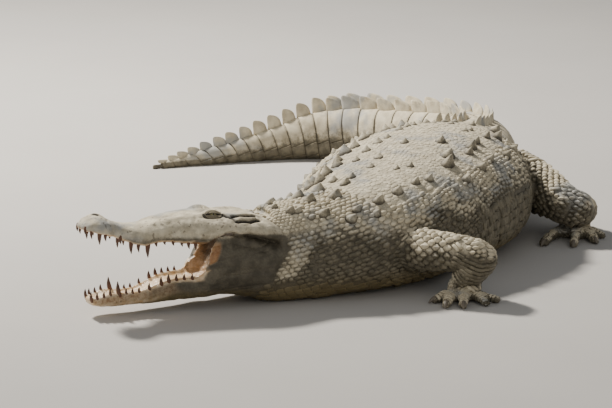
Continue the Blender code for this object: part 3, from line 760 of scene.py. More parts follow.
# Bare flesh: the palate, the bed of the tongue, the jaw's inner side, the cheek folds, the throat.
palate = ease(-0.25, -0.75, facing) * ease(0.030, 0.012, np.abs(height - row - 0.004))
palate *= ease(0.29, 0.35, share)
palate *= 1 - ease(0.40, 0.35, share) * ease(0.82, 0.90, off_middle / skull_wide)
bed = ease(0.15, 0.6, facing) * ease(0.06, 0.035, jaw_row - jaw_height)
bed *= ease(0.30, 0.34, jaw_share) * (height < row - 0.004) * (jaw_height > jaw_row - 0.05)
inner = ease(1.0, 0.86, off_middle / jaw_wide) * ease(0.05, 0.035, jaw_row - jaw_height)
inner *= ease(0.33, 0.38, jaw_share) * (height < row)
rear = np.interp(height, (-0.070, -0.055, -0.035, 0.0, 0.03), (0.420, 0.345, 0.292, 0.272, 0.270))
fold = ease(rear - 0.006, rear + 0.008, share + 0.006 * lumps(points, 0.02, 23))
fold *= ease(0.44, 0.40, share) * ease(0.024, 0.010, height) * ease(-0.085, -0.070, height)
limit = np.where(lateral > 0, np.interp(share, (0.24, 0.33), (0.48, 0.77)), 0.77)
throat = ease(0.12, 0.16, share) * ease(0.42, 0.38, share)
throat *= ease(limit + 0.03, limit - 0.03, off_middle / jaw_wide)
throat *= (height < 0.05) * ease(-0.078, -0.068, jaw_height)
flesh = np.clip(np.max([palate, bed, inner, fold, throat], axis=0), 0, 1)
flesh *= (share > 0.1) & (off_middle < 0.14)
# the outer cheek folds and the throat behind them get an orange brown darker than the lining:
# partly their own colour, partly painted shade
fold = ease(0.0, 0.35, fold) * ease(0.80, 0.90, off_middle / jaw_wide)
fold = np.maximum(fold, 0.5 * throat * ease(0.40, 0.30, share))

# Gums: the front of the lower jaw and a thin line along the upper teeth.
between_jaws = 0.5 * (row + jaw_row - np.tan(SKULL_PITCH - JAW_PITCH) * share * HEAD_LENGTH)
on_jaw = ease(0.004, -0.004, height - between_jaws) * ease(-0.06, 0.0, share)
gum = on_jaw * ease(0.50, 0.72, jaw_share + 0.10 * lumps(points, 0.03, 24))
gum *= ease(-0.085, -0.05, jaw_height)
upper_gum = 0.9 * (1 - on_jaw) * ease(0.006, 0.001, height - row) * ease(0.30, 0.36, share)
gum = np.maximum(gum, upper_gum * (share < 1.05)) * (1 - flesh)

# Painted shade, near black: in the ear slits and nostrils to their bottoms, in the recess under the
# cheek bar, along the lids' edges and in the groove round them, over the back of the jaw and in
# the depth of the throat.
OUTWARD = np.array([0.0, 0.70, 0.71])  # away from the bone, where the slits are
dark = np.zeros(len(points))
metres = one_side(skull)
for start, stop, wide, high in SLITS + [NOSTRIL]:
    inwards = -(metres - 0.5 * (start + stop)) @ OUTWARD
    sunk = np.clip(inwards, 0, -1.3 * high)[:, None] * OUTWARD
    away = near_lines(metres + sunk, start, stop)
    dark = np.maximum(dark, np.exp(-((away / (1.10 * wide)) ** 4)))
# painted shade in the recess under the cheek bar
for start, stop, wide, high in RECESS:
    deep = np.exp(-((near_lines(metres, start, stop) / (0.95 * wide)) ** 2))
    dark = np.maximum(dark, 0.62 * deep * ease(0.33, 0.26, share))
lids = np.zeros(len(points))
# painted shade in the slit between the lids and in the groove round them
for eye, side in zip(EYES, SIDES):
    place = lid_place(points, eye, side)
    inside, out = lid_share(place), place[:, 2] > 0
    lids = np.maximum(lids, out * ease(0.50, 0.36, inside))
    slit = ease(0.0035, 0.0015, np.abs(place[:, 1] + SLIT_BELOW))
    slit *= ease(0.024, 0.021, np.abs(place[:, 0]))
    moat = ease(0.12, 0.05, np.abs(np.sqrt(inside) - MOAT_AT)) * (place[:, 1] < 0.004)
    dark = np.max([dark, out * (inside < 0.6) * slit, 0.8 * out * moat], axis=0)
# painted shade over the back of the lower jaw below the skull, in patches; the dust is taken off
# there too
lifted = height - 0.02 * ease(0.3, 0.1, share)
rear_jaw_shade = bare(skull) * ease(0.64, 0.46, jaw_share) * ease(0.036, 0.016, lifted)
rear_jaw_shade *= 1 - 0.45 * ease(0.0, 0.7, lumps(jaw * AS_METRES, (0.09, 0.05, 0.020), 25))
dark = np.maximum(dark, 0.26 * rear_jaw_shade * (1 - flesh) * (1 - 0.8 * warm))
# painted shade in the depth of the throat
dark = np.maximum(dark, 0.85 * throat * ease(0.275, 0.225, share))
looks = {
    # the dust is taken off over the back of the jaw as painted shade
    "dust": dust * (1 - 0.85 * rear_jaw_shade), "warm": warm, "dark": dark, "flesh": flesh,
    "fold": fold, "gum": gum, "lids": lids, "bone": bare(skull) * (1 - rear_jaw_shade) * (1 - on_jaw),
    # painted shade on the skin in the gaps between the scales, less where dust lies
    "between": (1 - bare(skull)) * (1 - 0.75 * dust),
}
for name, values in looks.items():
    set_values(skin.data, name, values)


def node(tree, kind, inputs=None, **settings):
    """Adds a node; an input is a value or another node's output."""
    made = tree.nodes.new(kind)
    for key, value in settings.items():
        setattr(made, key, value)
    for key, value in (inputs or {}).items():
        if isinstance(value, bpy.types.NodeSocket):
            tree.links.new(value, made.inputs[key])
        else:
            made.inputs[key].default_value = value
    return made


def blend(tree, factor, one, two, how="MIX"):
    """One colour turned into another by the factor."""
    inputs = {0: factor, 6: one, 7: two}
    return node(tree, "ShaderNodeMix", inputs, data_type="RGBA", blend_type=how).outputs[2]


def number(tree, how, one, two=0.5, three=0.5):
    made = node(tree, "ShaderNodeMath", {0: one, 1: two, 2: three}, operation=how)
    return made.outputs[0]


def product(tree, first, *others):
    for value in others:
        first = number(tree, "MULTIPLY", first, value)
    return first


def grain(tree, where, scale, detail=3.0, rough=0.6):
    """Noise between 0 and 1 on the object's own coordinates."""
    inputs = {"Vector": where, "Scale": scale, "Detail": detail, "Roughness": rough}
    return node(tree, "ShaderNodeTexNoise", inputs).outputs["Fac"]


def ramp(tree, value, low, high):
    """0 below low, 1 above high."""
    inputs = {"Value": value, "From Min": low, "From Max": high}
    return node(tree, "ShaderNodeMapRange", inputs, interpolation_type="SMOOTHSTEP").outputs[0]


def shades(tree, factor, low, high, one, two):
    """One colour below low and the other above high."""
    return blend(tree, ramp(tree, factor, low, high), one, two)


def own_place(tree):
    return node(tree, "ShaderNodeTexCoord").outputs["Object"]


def values_of(tree, name):
    made = node(tree, "ShaderNodeAttribute", attribute_name=name, attribute_type="GEOMETRY")
    return made.outputs["Fac"]


def colour_group(name, inputs, outputs):
    """A node group that takes and gives values and colours only."""
    tree = bpy.data.node_groups.new(name, "ShaderNodeTree")
    for label in inputs:
        tree.interface.new_socket(label, in_out="INPUT", socket_type="NodeSocketFloat")
    for label, kind in outputs.items():
        tree.interface.new_socket(label, in_out="OUTPUT", socket_type="NodeSocket" + kind)
    return tree, tree.nodes.new("NodeGroupInput").outputs, tree.nodes.new("NodeGroupOutput").inputs


def paint_of(name):
    """A new material: its tree and its shader."""
    material = bpy.data.materials.new(name)
    material.use_nodes = True
    return material, material.node_tree, material.node_tree.nodes["Principled BSDF"]


def dress(tree, shader, colour, roughness, height=None, strength=0.0, depth=0.0):
    """Gives the shader its colour, its roughness and a bump made from a height."""
    tree.links.new(colour, shader.inputs["Base Color"])
    if isinstance(roughness, float):
        shader.inputs["Roughness"].default_value = roughness
    else:
        tree.links.new(roughness, shader.inputs["Roughness"])
    if height is not None:
        inputs = {"Height": height, "Strength": strength, "Distance": depth}
        bump = node(tree, "ShaderNodeBump", inputs)
        tree.links.new(bump.outputs["Normal"], shader.inputs["Normal"])


def muddy_hide(tree, *looks):
    """The shared colours of the hide, its mud and its painted shade, led by the values named."""
    own = node(tree, "ShaderNodeGroup", node_tree=hide)
    for look in looks:
        tree.links.new(values_of(tree, look), own.inputs[look.capitalize()])
    return own.outputs


# Hide under dried mud: olive brown skin, grey clay in patches, cream dust on what faces up, and
# near black painted shade where it is led.
hide, given, gives = colour_group(
    "hide under dried mud",
    ["Dust", "Warm", "Dark", "Tint"],
    {"Color": "Color", "Roughness": "Float", "Height": "Float"},
)
where = own_place(hide)
broad, middle = grain(hide, where, 7.0, 4), grain(hide, where, 38.0, 4)
fine = grain(hide, where, 210.0, 3)
olive = shades(hide, middle, 0.35, 0.65, (0.105, 0.092, 0.060, 1), (0.200, 0.175, 0.120, 1))
yellow = blend(hide, middle, (0.150, 0.112, 0.045, 1), (0.290, 0.225, 0.110, 1))
bare_hide = blend(hide, given["Warm"], olive, yellow)
mud = shades(hide, middle, 0.30, 0.70, (0.520, 0.455, 0.325, 1), (0.730, 0.655, 0.490, 1))
clay = product(hide, ramp(hide, broad, 0.50, 0.64), 0.75)
mud = blend(hide, clay, mud, (0.330, 0.345, 0.350, 1))
caked = number(hide, "ADD", given["Dust"], number(hide, "MULTIPLY_ADD", fine, 0.5, -0.25))
caked = number(hide, "ADD", caked, number(hide, "MULTIPLY_ADD", middle, 0.6, -0.30))
caked = ramp(hide, caked, 0.22, 0.80)
tone = blend(hide, caked, bare_hide, mud)
deeper = blend(hide, 1.0, tone, (0.62, 0.58, 0.52, 1), "MULTIPLY")
tone = blend(hide, product(hide, given["Tint"], 0.25), tone, deeper)
# painted shade: near black where the hide's shade value leads
tone = blend(hide, given["Dark"], tone, (0.030, 0.025, 0.018, 1))
hide.links.new(tone, gives["Color"])
hide.links.new(number(hide, "MULTIPLY_ADD", caked, 0.25, 0.62), gives["Roughness"])
hide.links.new(number(hide, "MULTIPLY_ADD", fine, 0.6, middle), gives["Height"])

hide_finish, tree, shader = paint_of("hide")
where = own_place(tree)
own = muddy_hide(tree, "dust", "warm", "dark")
inputs = {"Vector": where, "Scale": 120.0}
cracks = node(tree, "ShaderNodeTexVoronoi", inputs, feature="DISTANCE_TO_EDGE").outputs["Distance"]
crack = ramp(tree, cracks, 0.0, 0.16)
# painted shade on the skin in the gaps between the scales
gap_shade = product(tree, values_of(tree, "between"), 0.45)
tone = blend(tree, gap_shade, own["Color"], (0.085, 0.072, 0.050, 1))
bone, flesh = values_of(tree, "bone"), values_of(tree, "flesh")
cracked = number(tree, "MULTIPLY_ADD", bone, -0.27, 0.33)
in_cracks = product(tree, number(tree, "SUBTRACT", 1.0, crack), cracked)
tone = blend(tree, in_cracks, tone, (0.07, 0.06, 0.045, 1))
speck = ramp(tree, grain(tree, where, 85.0, 2, 0.5), 0.62, 0.71)
shade = ramp(tree, grain(tree, where, 24.0, 5, 0.65), 0.42, 0.72)
tone = blend(tree, product(tree, shade, bone, 0.60), tone, (0.250, 0.215, 0.155, 1))
tone = blend(tree, product(tree, speck, bone, 0.6), tone, (0.085, 0.065, 0.045, 1))
stain = grain(tree, where, 110.0, 4)
gums = shades(tree, stain, 0.35, 0.68, (0.300, 0.165, 0.075, 1), (0.620, 0.470, 0.300, 1))
tone = blend(tree, product(tree, values_of(tree, "gum"), 0.85), tone, gums)
veins = grain(tree, where, 60.0, 5, 0.7)
lining = shades(tree, veins, 0.35, 0.65, (0.62, 0.42, 0.22, 1), (0.80, 0.66, 0.48, 1))
# orange brown of the cheek folds and throat, partly their own colour and partly painted shade
shaded_orange = shades(tree, veins, 0.3, 0.7, (0.230, 0.105, 0.038, 1), (0.430, 0.235, 0.100, 1))
lining = blend(tree, values_of(tree, "fold"), lining, shaded_orange)
tone = blend(tree, flesh, tone, lining)
eyelid = shades(tree, veins, 0.4, 0.6, (0.080, 0.062, 0.036, 1), (0.150, 0.125, 0.075, 1))
tone = blend(tree, product(tree, values_of(tree, "lids"), 0.8), tone, eyelid)
# painted shade, near black: the slits, nostrils, lid grooves, the recess under the cheek bar, the
# back of the jaw and the depth of the throat
shade_amount = product(tree, values_of(tree, "dark"), 0.88)
tone = blend(tree, shade_amount, tone, (0.020, 0.016, 0.012, 1))
rough = number(tree, "SUBTRACT", own["Roughness"], product(tree, flesh, 0.28))
crack_depth = number(tree, "MULTIPLY_ADD", bone, -0.5, 0.6)
relief = number(tree, "ADD", own["Height"], product(tree, crack, crack_depth))
dress(tree, shader, tone, rough, relief, 0.55, 0.0015)
skin.data.materials.clear()
skin.data.materials.append(hide_finish)
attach(skin, "root")
lengths = ["head", "lower_jaw", "neck", "trunk"] + [f"tail_{i}" for i in range(1, 6)]
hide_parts(*lengths, *LIMBS, *FEET)

# ================================================================ the eyes
# Two glass eyes set in the sockets, all but closed by the lids: a ball with a slightly raised
# cornea, olive gold round a narrow upright pupil, and a wet, clear gloss.
eye_finish, tree, shader = paint_of("glass eye")
place = node(tree, "ShaderNodeAttribute", attribute_name="look").outputs["Vector"]
parts = node(tree, "ShaderNodeSeparateXYZ", {0: place}).outputs


def round_off(width, tall):
    """How far off the middle of the eye, squared, where an oval's rim is at 1."""
    halves = [(parts["X"], width), (parts["Y"], tall)]
    squares = [number(tree, "POWER", number(tree, "DIVIDE", a, b), 2.0) for a, b in halves]
    return number(tree, "ADD", *squares)


rays = grain(tree, own_place(tree), 900.0, 4)
iris = blend(tree, rays, (0.10, 0.085, 0.025, 1), (0.36, 0.30, 0.10, 1))
rim = ramp(tree, number(tree, "SQRT", round_off(1.0, 1.0)), 0.62, 0.74)
iris = blend(tree, rim, iris, (0.030, 0.024, 0.014, 1))
pupil = ramp(tree, round_off(0.09, 0.60), 1.25, 0.85)
dress(tree, shader, blend(tree, pupil, iris, (0.004, 0.004, 0.004, 1)), 0.12)
shader.inputs["Coat Weight"].default_value = 1.0
shader.inputs["Coat Roughness"].default_value = 0.03
for eye, side, name in zip(EYES, SIDES, ("eye_left", "eye_right")):
    ahead, up, out = eye_axes(side)
    turn = np.linspace(0, 2 * math.pi, 40, endpoint=False)
    flat = np.outer(np.cos(turn), ahead) + np.outer(np.sin(turn), up)
    rings = []
    for tilt in np.linspace(math.radians(4), math.radians(176), 26):
        bulge = 1 + 0.05 * max(0, 1 - (tilt / math.radians(38)) ** 2)  # the cornea
        rings.append(eye + EYE_RADIUS * bulge * (math.cos(tilt) * out + math.sin(tilt) * flat))
    ball = new_object(name + "_glass", *closed_shells([rings]))
    look = (points_of(ball.data) - eye) / EYE_RADIUS @ np.column_stack([ahead, up, out])
    look[look[:, 2] < 0, 0] = 1.0
    set_values(ball.data, "look", look, "FLOAT_VECTOR")
    ball.data.materials.append(eye_finish)
    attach(ball, "root")
    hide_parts(name)

# ================================================================ the teeth
# Worn conical teeth of cast resin, stained red brown by mud and darkened further as painted shade,
# darkest towards the tips, each set in its own socket along the two jaws; the fourth lower and the
# fifth and tenth upper ones are the largest.
TOOTH_ROOT = 0.010
TOOTH_TAPER = [(1.15, 1.05), (0.82, 0.80), (0.14, 0.14)]  # thickness at the root, middle and tip


def tooth(share, side, tall, thick, lower):
    """Rings of one tooth, curved back a little towards the throat."""
    if lower:
        half_width, edge, base = sizes_of(JAW, share)
        pitch, power, waist = JAW_PITCH, JAW_SQUARENESS[0], base + JAW_WAIST * (edge - base)
    else:
        half_width, top, edge = sizes_of(SKULL, share)
        pitch, power, waist = SKULL_PITCH, SKULL_SQUARENESS[1], edge + SKULL_WAIST * (top - edge)
    inward = 0.86 - 0.1 * thick / half_width
    level = waist + (edge - waist) * (1 - inward**power) ** (1 / power)
    way = math.copysign(1, edge - waist)
    lateral = side * half_width * inward
    path = [
        (share, lateral, level - TOOTH_ROOT * way),
        (share + 0.002, lateral * 1.05, level + 0.45 * (edge + tall * way - level)),
        (share - 0.002, lateral * 1.07, edge + tall * way),
    ]
    path = [head_point(at * HEAD_LENGTH, across, rise, pitch)[0] for at, across, rise in path]
    return tube(path, thick * np.array(TOOTH_TAPER), 12, 12, cap=0.8)


UPPER_TEETH = [  # share of the head's length, height, radius
    (0.985, 0.010, 0.0036),
    (0.960, 0.016, 0.0042),
    (0.918, 0.026, 0.0060),
    (0.884, 0.013, 0.0044),
    (0.795, 0.010, 0.0040),
    (0.742, 0.026, 0.0060),
    (0.705, 0.016, 0.0048),
    (0.655, 0.031, 0.0068),
    (0.610, 0.006, 0.0042),
    (0.565, 0.003, 0.0038),
    (0.520, 0.004, 0.0038),
    (0.475, 0.004, 0.0038),
    (0.440, 0.009, 0.0044),
    (0.405, 0.012, 0.0044),
]
LOWER_TEETH = [
    (0.962, 0.016, 0.0044),
    (0.935, 0.012, 0.0040),
    (0.900, 0.009, 0.0038),
    (0.865, 0.010, 0.0040),
    (0.818, 0.028, 0.0066),
    (0.775, 0.008, 0.0036),
    (0.740, 0.007, 0.0036),
    (0.705, 0.007, 0.0036),
    (0.650, 0.009, 0.0040),
    (0.585, 0.012, 0.0052),
    (0.545, 0.012, 0.0052),
    (0.505, 0.007, 0.0044),
    (0.465, 0.006, 0.0042),
    (0.425, 0.005, 0.0040),
]
rows_of_teeth = [
    tooth(share, side, tall, thick, lower)
    for row, lower in ((UPPER_TEETH, False), (LOWER_TEETH, True))
    for side in SIDES
    for share, tall, thick in row
]
teeth = new_object("teeth", *closed_shells(rows_of_teeth))
crowns = [np.repeat(np.linspace(0, 1, len(rings)), len(rings[0])) for rings in rows_of_teeth]
set_values(teeth.data, "crown", np.concatenate(crowns))
tooth_finish, tree, shader = paint_of("stained tooth")
streak = grain(tree, own_place(tree), 260.0, 4)
# dark red brown, partly stain and partly painted shade, and darker towards the tips
enamel = blend(tree, streak, (0.070, 0.026, 0.012, 1), (0.180, 0.075, 0.034, 1))
tips = blend(tree, streak, (0.040, 0.018, 0.010, 1), (0.100, 0.048, 0.026, 1))
enamel = blend(tree, ramp(tree, values_of(tree, "crown"), 0.35, 0.75), enamel, tips)
dress(tree, shader, enamel, 0.38, streak, 0.3, 0.0006)
teeth.data.materials.append(tooth_finish)
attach(teeth, "root")

# ================================================================ the claws
# Blunt, curved horn claws on the three inner toes of each foot, dark and scratched, with mud in
# the grooves; each grows out of the end of its toe.
CLAW_SIZES = [(0.0082, 0.0080), (0.0070, 0.0070), (0.0026, 0.0024)]
CLAW_PATH = [(-0.012, 0.014), (0.004, 0.0135), (0.019, 0.0050)]  # past the toe's tip, height
nails = []
for path, toes in FEET.values():
    for toe in toes[:3]:
        tip, middle = np.array(toe[2][:2]), np.array(toe[1][:2])
        way = (tip - middle) / np.linalg.norm(tip - middle)
        nail = [(*(tip + way * reach), height) for reach, height in CLAW_PATH]
        nails.append(tube(nail, CLAW_SIZES, 16, 14, cap=0.8))
claws = new_object("claws", *closed_shells(nails))
lifted = points_of(claws.data)
lifted[:, 2] = np.maximum(lifted[:, 2], 0.0002)
move_points(claws.data, lifted)
horn, tree, shader = paint_of("claw horn")
stretched = node(tree, "ShaderNodeMapping", {"Vector": own_place(tree), "Scale": (1, 1, 3)})
streak = grain(tree, stretched.outputs[0], 300.0, 5)
horn_tone = blend(tree, streak, (0.055, 0.046, 0.036, 1), (0.260, 0.220, 0.165, 1))
dress(tree, shader, horn_tone, 0.42, streak, 0.35, 0.0008)
claws.data.materials.append(horn)
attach(claws, "root")
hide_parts(*(f"{foot}_claw_{i}" for foot in FEET for i in (1, 2, 3)))

# ================================================================ the crest of the tail
# Thin upright flaps of horny scale that lean back, two rows on the front of the tail and a single
# row behind; each is fixed by its root to the skin. They are the largest of the scales, and the
# shapes, the way of setting them and the finish are shared by all the scales below.
DOUBLE_CREST, SINGLE_CREST = 16, 13
CREST_JOIN, CREST_END = STATION_AT[12] - 0.03, TAIL_TIP - 0.05
WHORLS = np.append(
    np.linspace(PELVIS, CREST_JOIN, DOUBLE_CREST),
    CREST_JOIN + (CREST_END - CREST_JOIN) * (np.arange(1, SINGLE_CREST + 1) / SINGLE_CREST) ** 0.93,
)
WHORL_STEP = np.array([np.min(np.abs(np.delete(WHORLS, i) - s)) for i, s in enumerate(WHORLS)])
DROP_STEP, DEEPEST = 0.004, 0.92  # of the table of the body's surface, down from the back
ROUND_STEPS = 500
DROPS = np.arange(0, DEEPEST, DROP_STEP)
HALF_ROUND, ACROSS, HEIGHT = np.zeros(len(SPINE_AT)), [], []
for i, (_, _, half_width, top, waist, *squareness) in enumerate(SPINE):
    down = (ROUND_STEPS, math.pi / 2, -math.pi / 2)
    lateral, height, HALF_ROUND[i] = section(half_width, top, waist, -FLAT, squareness, *down)
    at = np.linspace(0, HALF_ROUND[i], ROUND_STEPS)
    ACROSS.append(np.interp(DROPS, at, lateral))
    HEIGHT.append(np.interp(DROPS, at, height))
ACROSS, HEIGHT = np.array(ACROSS), np.array(HEIGHT)


def on_body(s, drop):
    """Points s along the spine and `drop` down from the back's midline, + to the left."""
    i = np.clip((s - SPINE_AT[0]) / (SPINE_AT[1] - SPINE_AT[0]), 0, len(SPINE_AT) - 1.001)
    j = np.clip(np.abs(drop) / DROP_STEP, 0, len(DROPS) - 1.001)
    i0, j0 = i.astype(int), j.astype(int)
    fi, fj = i - i0, j - j0

    def between(table):
        near = table[i0, j0] * (1 - fi) + table[i0 + 1, j0] * fi
        far = table[i0, j0 + 1] * (1 - fi) + table[i0 + 1, j0 + 1] * fi
        return near * (1 - fj) + far * fj

    across, height, share = (between(ACROSS) * np.sign(drop))[:, None], between(HEIGHT), fi[:, None]
    centre = SPINE[i0, :2] * (1 - share) + SPINE[i0 + 1, :2] * share
    left = SPINE_LEFT[i0] * (1 - share) + SPINE_LEFT[i0 + 1] * share
    return np.column_stack([centre + left * across, height])


skin.data.calc_loop_triangles()
skin_faces = read(skin.data.loop_triangles, "vertices", 3, np.int32)
SKIN = BVHTree.FromPolygons(points_of(skin.data).tolist(), skin_faces.tolist())
SKIN_FLOOR = 0.004  # no scale is rooted lower than this
set_so_far = []  # the roots of all the scales that are set


def unit(vectors):
    return vectors / np.maximum(np.linalg.norm(vectors, axis=1), 1e-9)[:, None]


def set_on_skin(points, back, size, patch, reach=0.012, apart=0.0):
    """Roots of scales on the skin beside the points: where each stands, its turn, size and patch.

    Points further than `reach` from the skin are left out, and so are those closer than `apart`
    times their width to a scale that is set already."""
    place, out, keep = np.zeros_like(points), np.zeros_like(points), np.zeros(len(points), bool)
    there = np.vstack(set_so_far) if set_so_far else []
    taken = KDTree(len(there))
    for k, point in enumerate(there):
        taken.insert(point, k)
    taken.balance()
    for k, point in enumerate(points):
        found, normal, _, distance = SKIN.find_nearest(point)
        if found is None or distance > reach or found.z < SKIN_FLOOR:
            continue
        if apart and len(there) and taken.find(found)[2] < apart * size[k, 1]:
            continue
        place[k], out[k], keep[k] = found, normal, True
    place, out, back = place[keep], unit(out[keep]), back[keep]
    set_so_far.append(place)
    back = unit(back - out * (back * out).sum(1)[:, None])
    return {"place": place, "out": out, "back": back, "size": size[keep], "patch": patch[keep]}


def scale_shape(name, rings, sides=8, square=2.0):
    """A solid scale one unit long, wide and tall, +X towards the tail: rings that close upwards.

    Each ring is (level, length, width, shift towards the tail)."""
    turn = (np.arange(sides) + 0.5) * 2 * math.pi / sides
    c, s = np.cos(turn), np.sin(turn)
    x = 0.5 * np.sign(c) * np.abs(c) ** (2 / square)
    y = 0.5 * np.sign(s) * np.abs(s) ** (2 / square)
    shell = [
        np.column_stack([x * long + shift, y * wide, np.full(sides, level)])
        for level, long, wide, shift in rings
    ]
    obj = new_object(name, *closed_shells([shell]))
    points = points_of(obj.data)
    set_values(obj.data, "spot", points * (1, 1, 0), "FLOAT_VECTOR")
    set_values(obj.data, "crown", np.clip(points[:, 2], 0, 1))
    obj.hide_render = obj.hide_viewport = True
    return obj


# The tree that sets copies of one shape on the roots, each with its own turn and size.
SET = bpy.data.node_groups.new("set the scales", "GeometryNodeTree")
for label, kind in {
    "Roots": "Geometry",
    "Shape": "Object",
    "Finish": "Material",
    "Unevenness": "Float",
    "Seed": "Int",
}.items():
    SET.interface.new_socket(label, in_out="INPUT", socket_type="NodeSocket" + kind)
SET.interface.new_socket("Scales", in_out="OUTPUT", socket_type="NodeSocketGeometry")
given, gives = SET.nodes.new("NodeGroupInput").outputs, SET.nodes.new("NodeGroupOutput").inputs


def stored(name):
    made = node(SET, "GeometryNodeInputNamedAttribute", {"Name": name}, data_type="FLOAT_VECTOR")
    return made.outputs["Attribute"]


shape = node(SET, "GeometryNodeObjectInfo", {"Object": given["Shape"]}).outputs["Geometry"]
turn = node(SET, "FunctionNodeEulerToRotation", {"Euler": stored("turn")}).outputs[0]
ends = {}
for label, how in (("Min", "SUBTRACT"), ("Max", "ADD")):
    end = node(SET, "ShaderNodeMath", {0: 1.0, 1: given["Unevenness"]}, operation=how).outputs[0]
    ends[label] = node(SET, "ShaderNodeCombineXYZ", {0: end, 1: end, 2: end}).outputs[0]
inputs = {**ends, "Seed": given["Seed"]}
uneven = node(SET, "FunctionNodeRandomValue", inputs, data_type="FLOAT_VECTOR").outputs["Value"]
inputs = {0: stored("size"), 1: uneven}
size = node(SET, "ShaderNodeVectorMath", inputs, operation="MULTIPLY").outputs[0]
inputs = {"Points": given["Roots"], "Instance": shape, "Rotation": turn, "Scale": size}
copies = node(SET, "GeometryNodeInstanceOnPoints", inputs).outputs[0]
real = node(SET, "GeometryNodeRealizeInstances", {"Geometry": copies}).outputs[0]
inputs = {"Geometry": real, "Material": given["Finish"]}
SET.links.new(node(SET, "GeometryNodeSetMaterial", inputs).outputs[0], gives["Scales"])

# The finish of the scales: the hide's own colours, with painted shade at their roots in the gaps
# between them, less where mud fills them.
scale_finish, tree, shader = paint_of("horny scales")
own = muddy_hide(tree, "dust", "warm", "tint")
root_shade = ramp(tree, values_of(tree, "crown"), 0.48, 0.0)
filling = ramp(tree, values_of(tree, "dust"), 0.55, 0.95)
unfilled = number(tree, "MULTIPLY_ADD", filling, -0.60, 0.80)
root_gap_shade = product(tree, root_shade, unfilled)
tone = blend(tree, root_gap_shade, own["Color"], (0.050, 0.040, 0.027, 1))
dress(tree, shader, tone, own["Roughness"], own["Height"], 0.5, 0.0012)


def set_scales(name, shape, roots, seed, uneven=0.10, clean=0.0, rust=0.0, sharp=None):
    """One coat piece: copies of the shape on all the roots, with their marks and their patches."""
    roots = {key: np.vstack([r[key] for r in roots]) for key in roots[0]}
    place, out, back = roots["place"], roots["out"], roots["back"]
    side = np.cross(out, back)
    turn = np.column_stack([
        np.arctan2(side[:, 2], out[:, 2]),
        np.arcsin(np.clip(-back[:, 2], -1, 1)),
        np.arctan2(back[:, 1], back[:, 0]),
    ])
    mesh = bpy.data.meshes.new(name)
    mesh.from_pydata(place.tolist(), [], [])
    obj = bpy.data.objects.new(name, mesh)
    bpy.context.scene.collection.objects.link(obj)
    patch = np.column_stack([roots["patch"], np.zeros(len(place))])
    for key, values in {"turn": turn, "size": roots["size"], "patch": patch}.items():
        set_values(mesh, key, values, "FLOAT_VECTOR")
    dust, warm = marks(place, out)
    tint = np.random.default_rng(seed).random(len(place))
    rust = np.broadcast_to(rust, len(place))
    for key, values in {"dust": dust, "warm": warm, "tint": tint, "rust": rust}.items():
        set_values(mesh, key, values)
    setter = obj.modifiers.new("Set", "NODES")
    setter.node_group = SET
    values = {"Shape": shape, "Finish": scale_finish, "Unevenness": uneven, "Seed": seed}
    for item in SET.interface.items_tree:
        if item.item_type == "SOCKET" and item.in_out == "INPUT" and item.name in values:
            setter[item.identifier] = values[item.name]
    finish_scales(settled(obj), clean, sharp)


SPOT_SIZE = 0.003  # across each scale's patch on the unwrap


def finish_scales(obj, clean=0.0, sharp=None):
    """Gives a coat piece its patches and its last marks from the values at its points.

    `clean` is how free of mud the scales are, the rust value how brown their crowns are (a rust
    tint, and on the right row of the double crest painted shade) and `sharp` the angle in degrees
    above which their edges are crisp."""
    mesh = obj.data
    patch, spot = (read(mesh.attributes[key].data, "vector", 3) for key in ("patch", "spot"))
    flat = (patch + SPOT_SIZE * spot)[read(mesh.loops, "vertex_index", kind=np.int32), :2]
    mesh.uv_layers.new(name="OFBake").data.foreach_set("uv", flat.astype(np.float32).ravel())
    values = (read(mesh.attributes[key].data, "value") for key in ("dust", "crown", "rust"))
    dust, crown, rust = values
    faces_up = normals_of(mesh)[:, 2]
    dust = dust * (0.75 + 0.35 * crown) + 0.40 * crown * ease(-0.2, 0.9, faces_up) - 0.10
    dust = np.clip(dust, 0, 1) * (1 - clean) * (1 - 0.6 * rust * crown)
    set_values(mesh, "dust", dust)
    # brown crowns of rust tint and painted shade; the painted shade at their roots is lessened
    if rust.any():
        set_values(mesh, "warm", rust * crown)
        set_values(mesh, "crown", 0.4 + 0.6 * crown)
    for key in ("turn", "size", "patch", "spot", "rust"):
        if key in mesh.attributes:
            mesh.attributes.remove(mesh.attributes[key])
    mesh.shade_smooth()
    if sharp:
        mesh.set_sharp_from_angle(angle=math.radians(sharp))
    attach(obj, "root")


# The unwrap that the patches lie on: the body in one sheet, cut along the belly, with its back
# along the middle, and a strip for each limb and toe beside it.
SHEET_MIDDLE, SHEET_HALF = 0.28, 0.27
LIMB_SHEET, LIMB_PITCH, LIMB_WIDE = 0.58, 0.026, 0.022


def body_uv(s, drop):
    along = 0.01 + 0.98 * (s - SPINE_AT[0]) / (TAIL_TIP - SPINE_AT[0])
    return np.column_stack([along, SHEET_MIDDLE + SHEET_HALF * drop / DEEPEST])


FLAP = scale_shape("flap shape", [
    (-0.40, 1.06, 1.00, 0.00),
    (0.15, 1.06, 0.80, 0.03),
    (0.42, 1.03, 0.54, 0.08),
    (0.64, 0.95, 0.38, 0.13),
    (0.81, 0.80, 0.28, 0.20),
    (0.92, 0.60, 0.20, 0.27),
    (0.98, 0.36, 0.13, 0.34),
    (1.00, 0.14, 0.06, 0.39),
], sides=10, square=2.4)
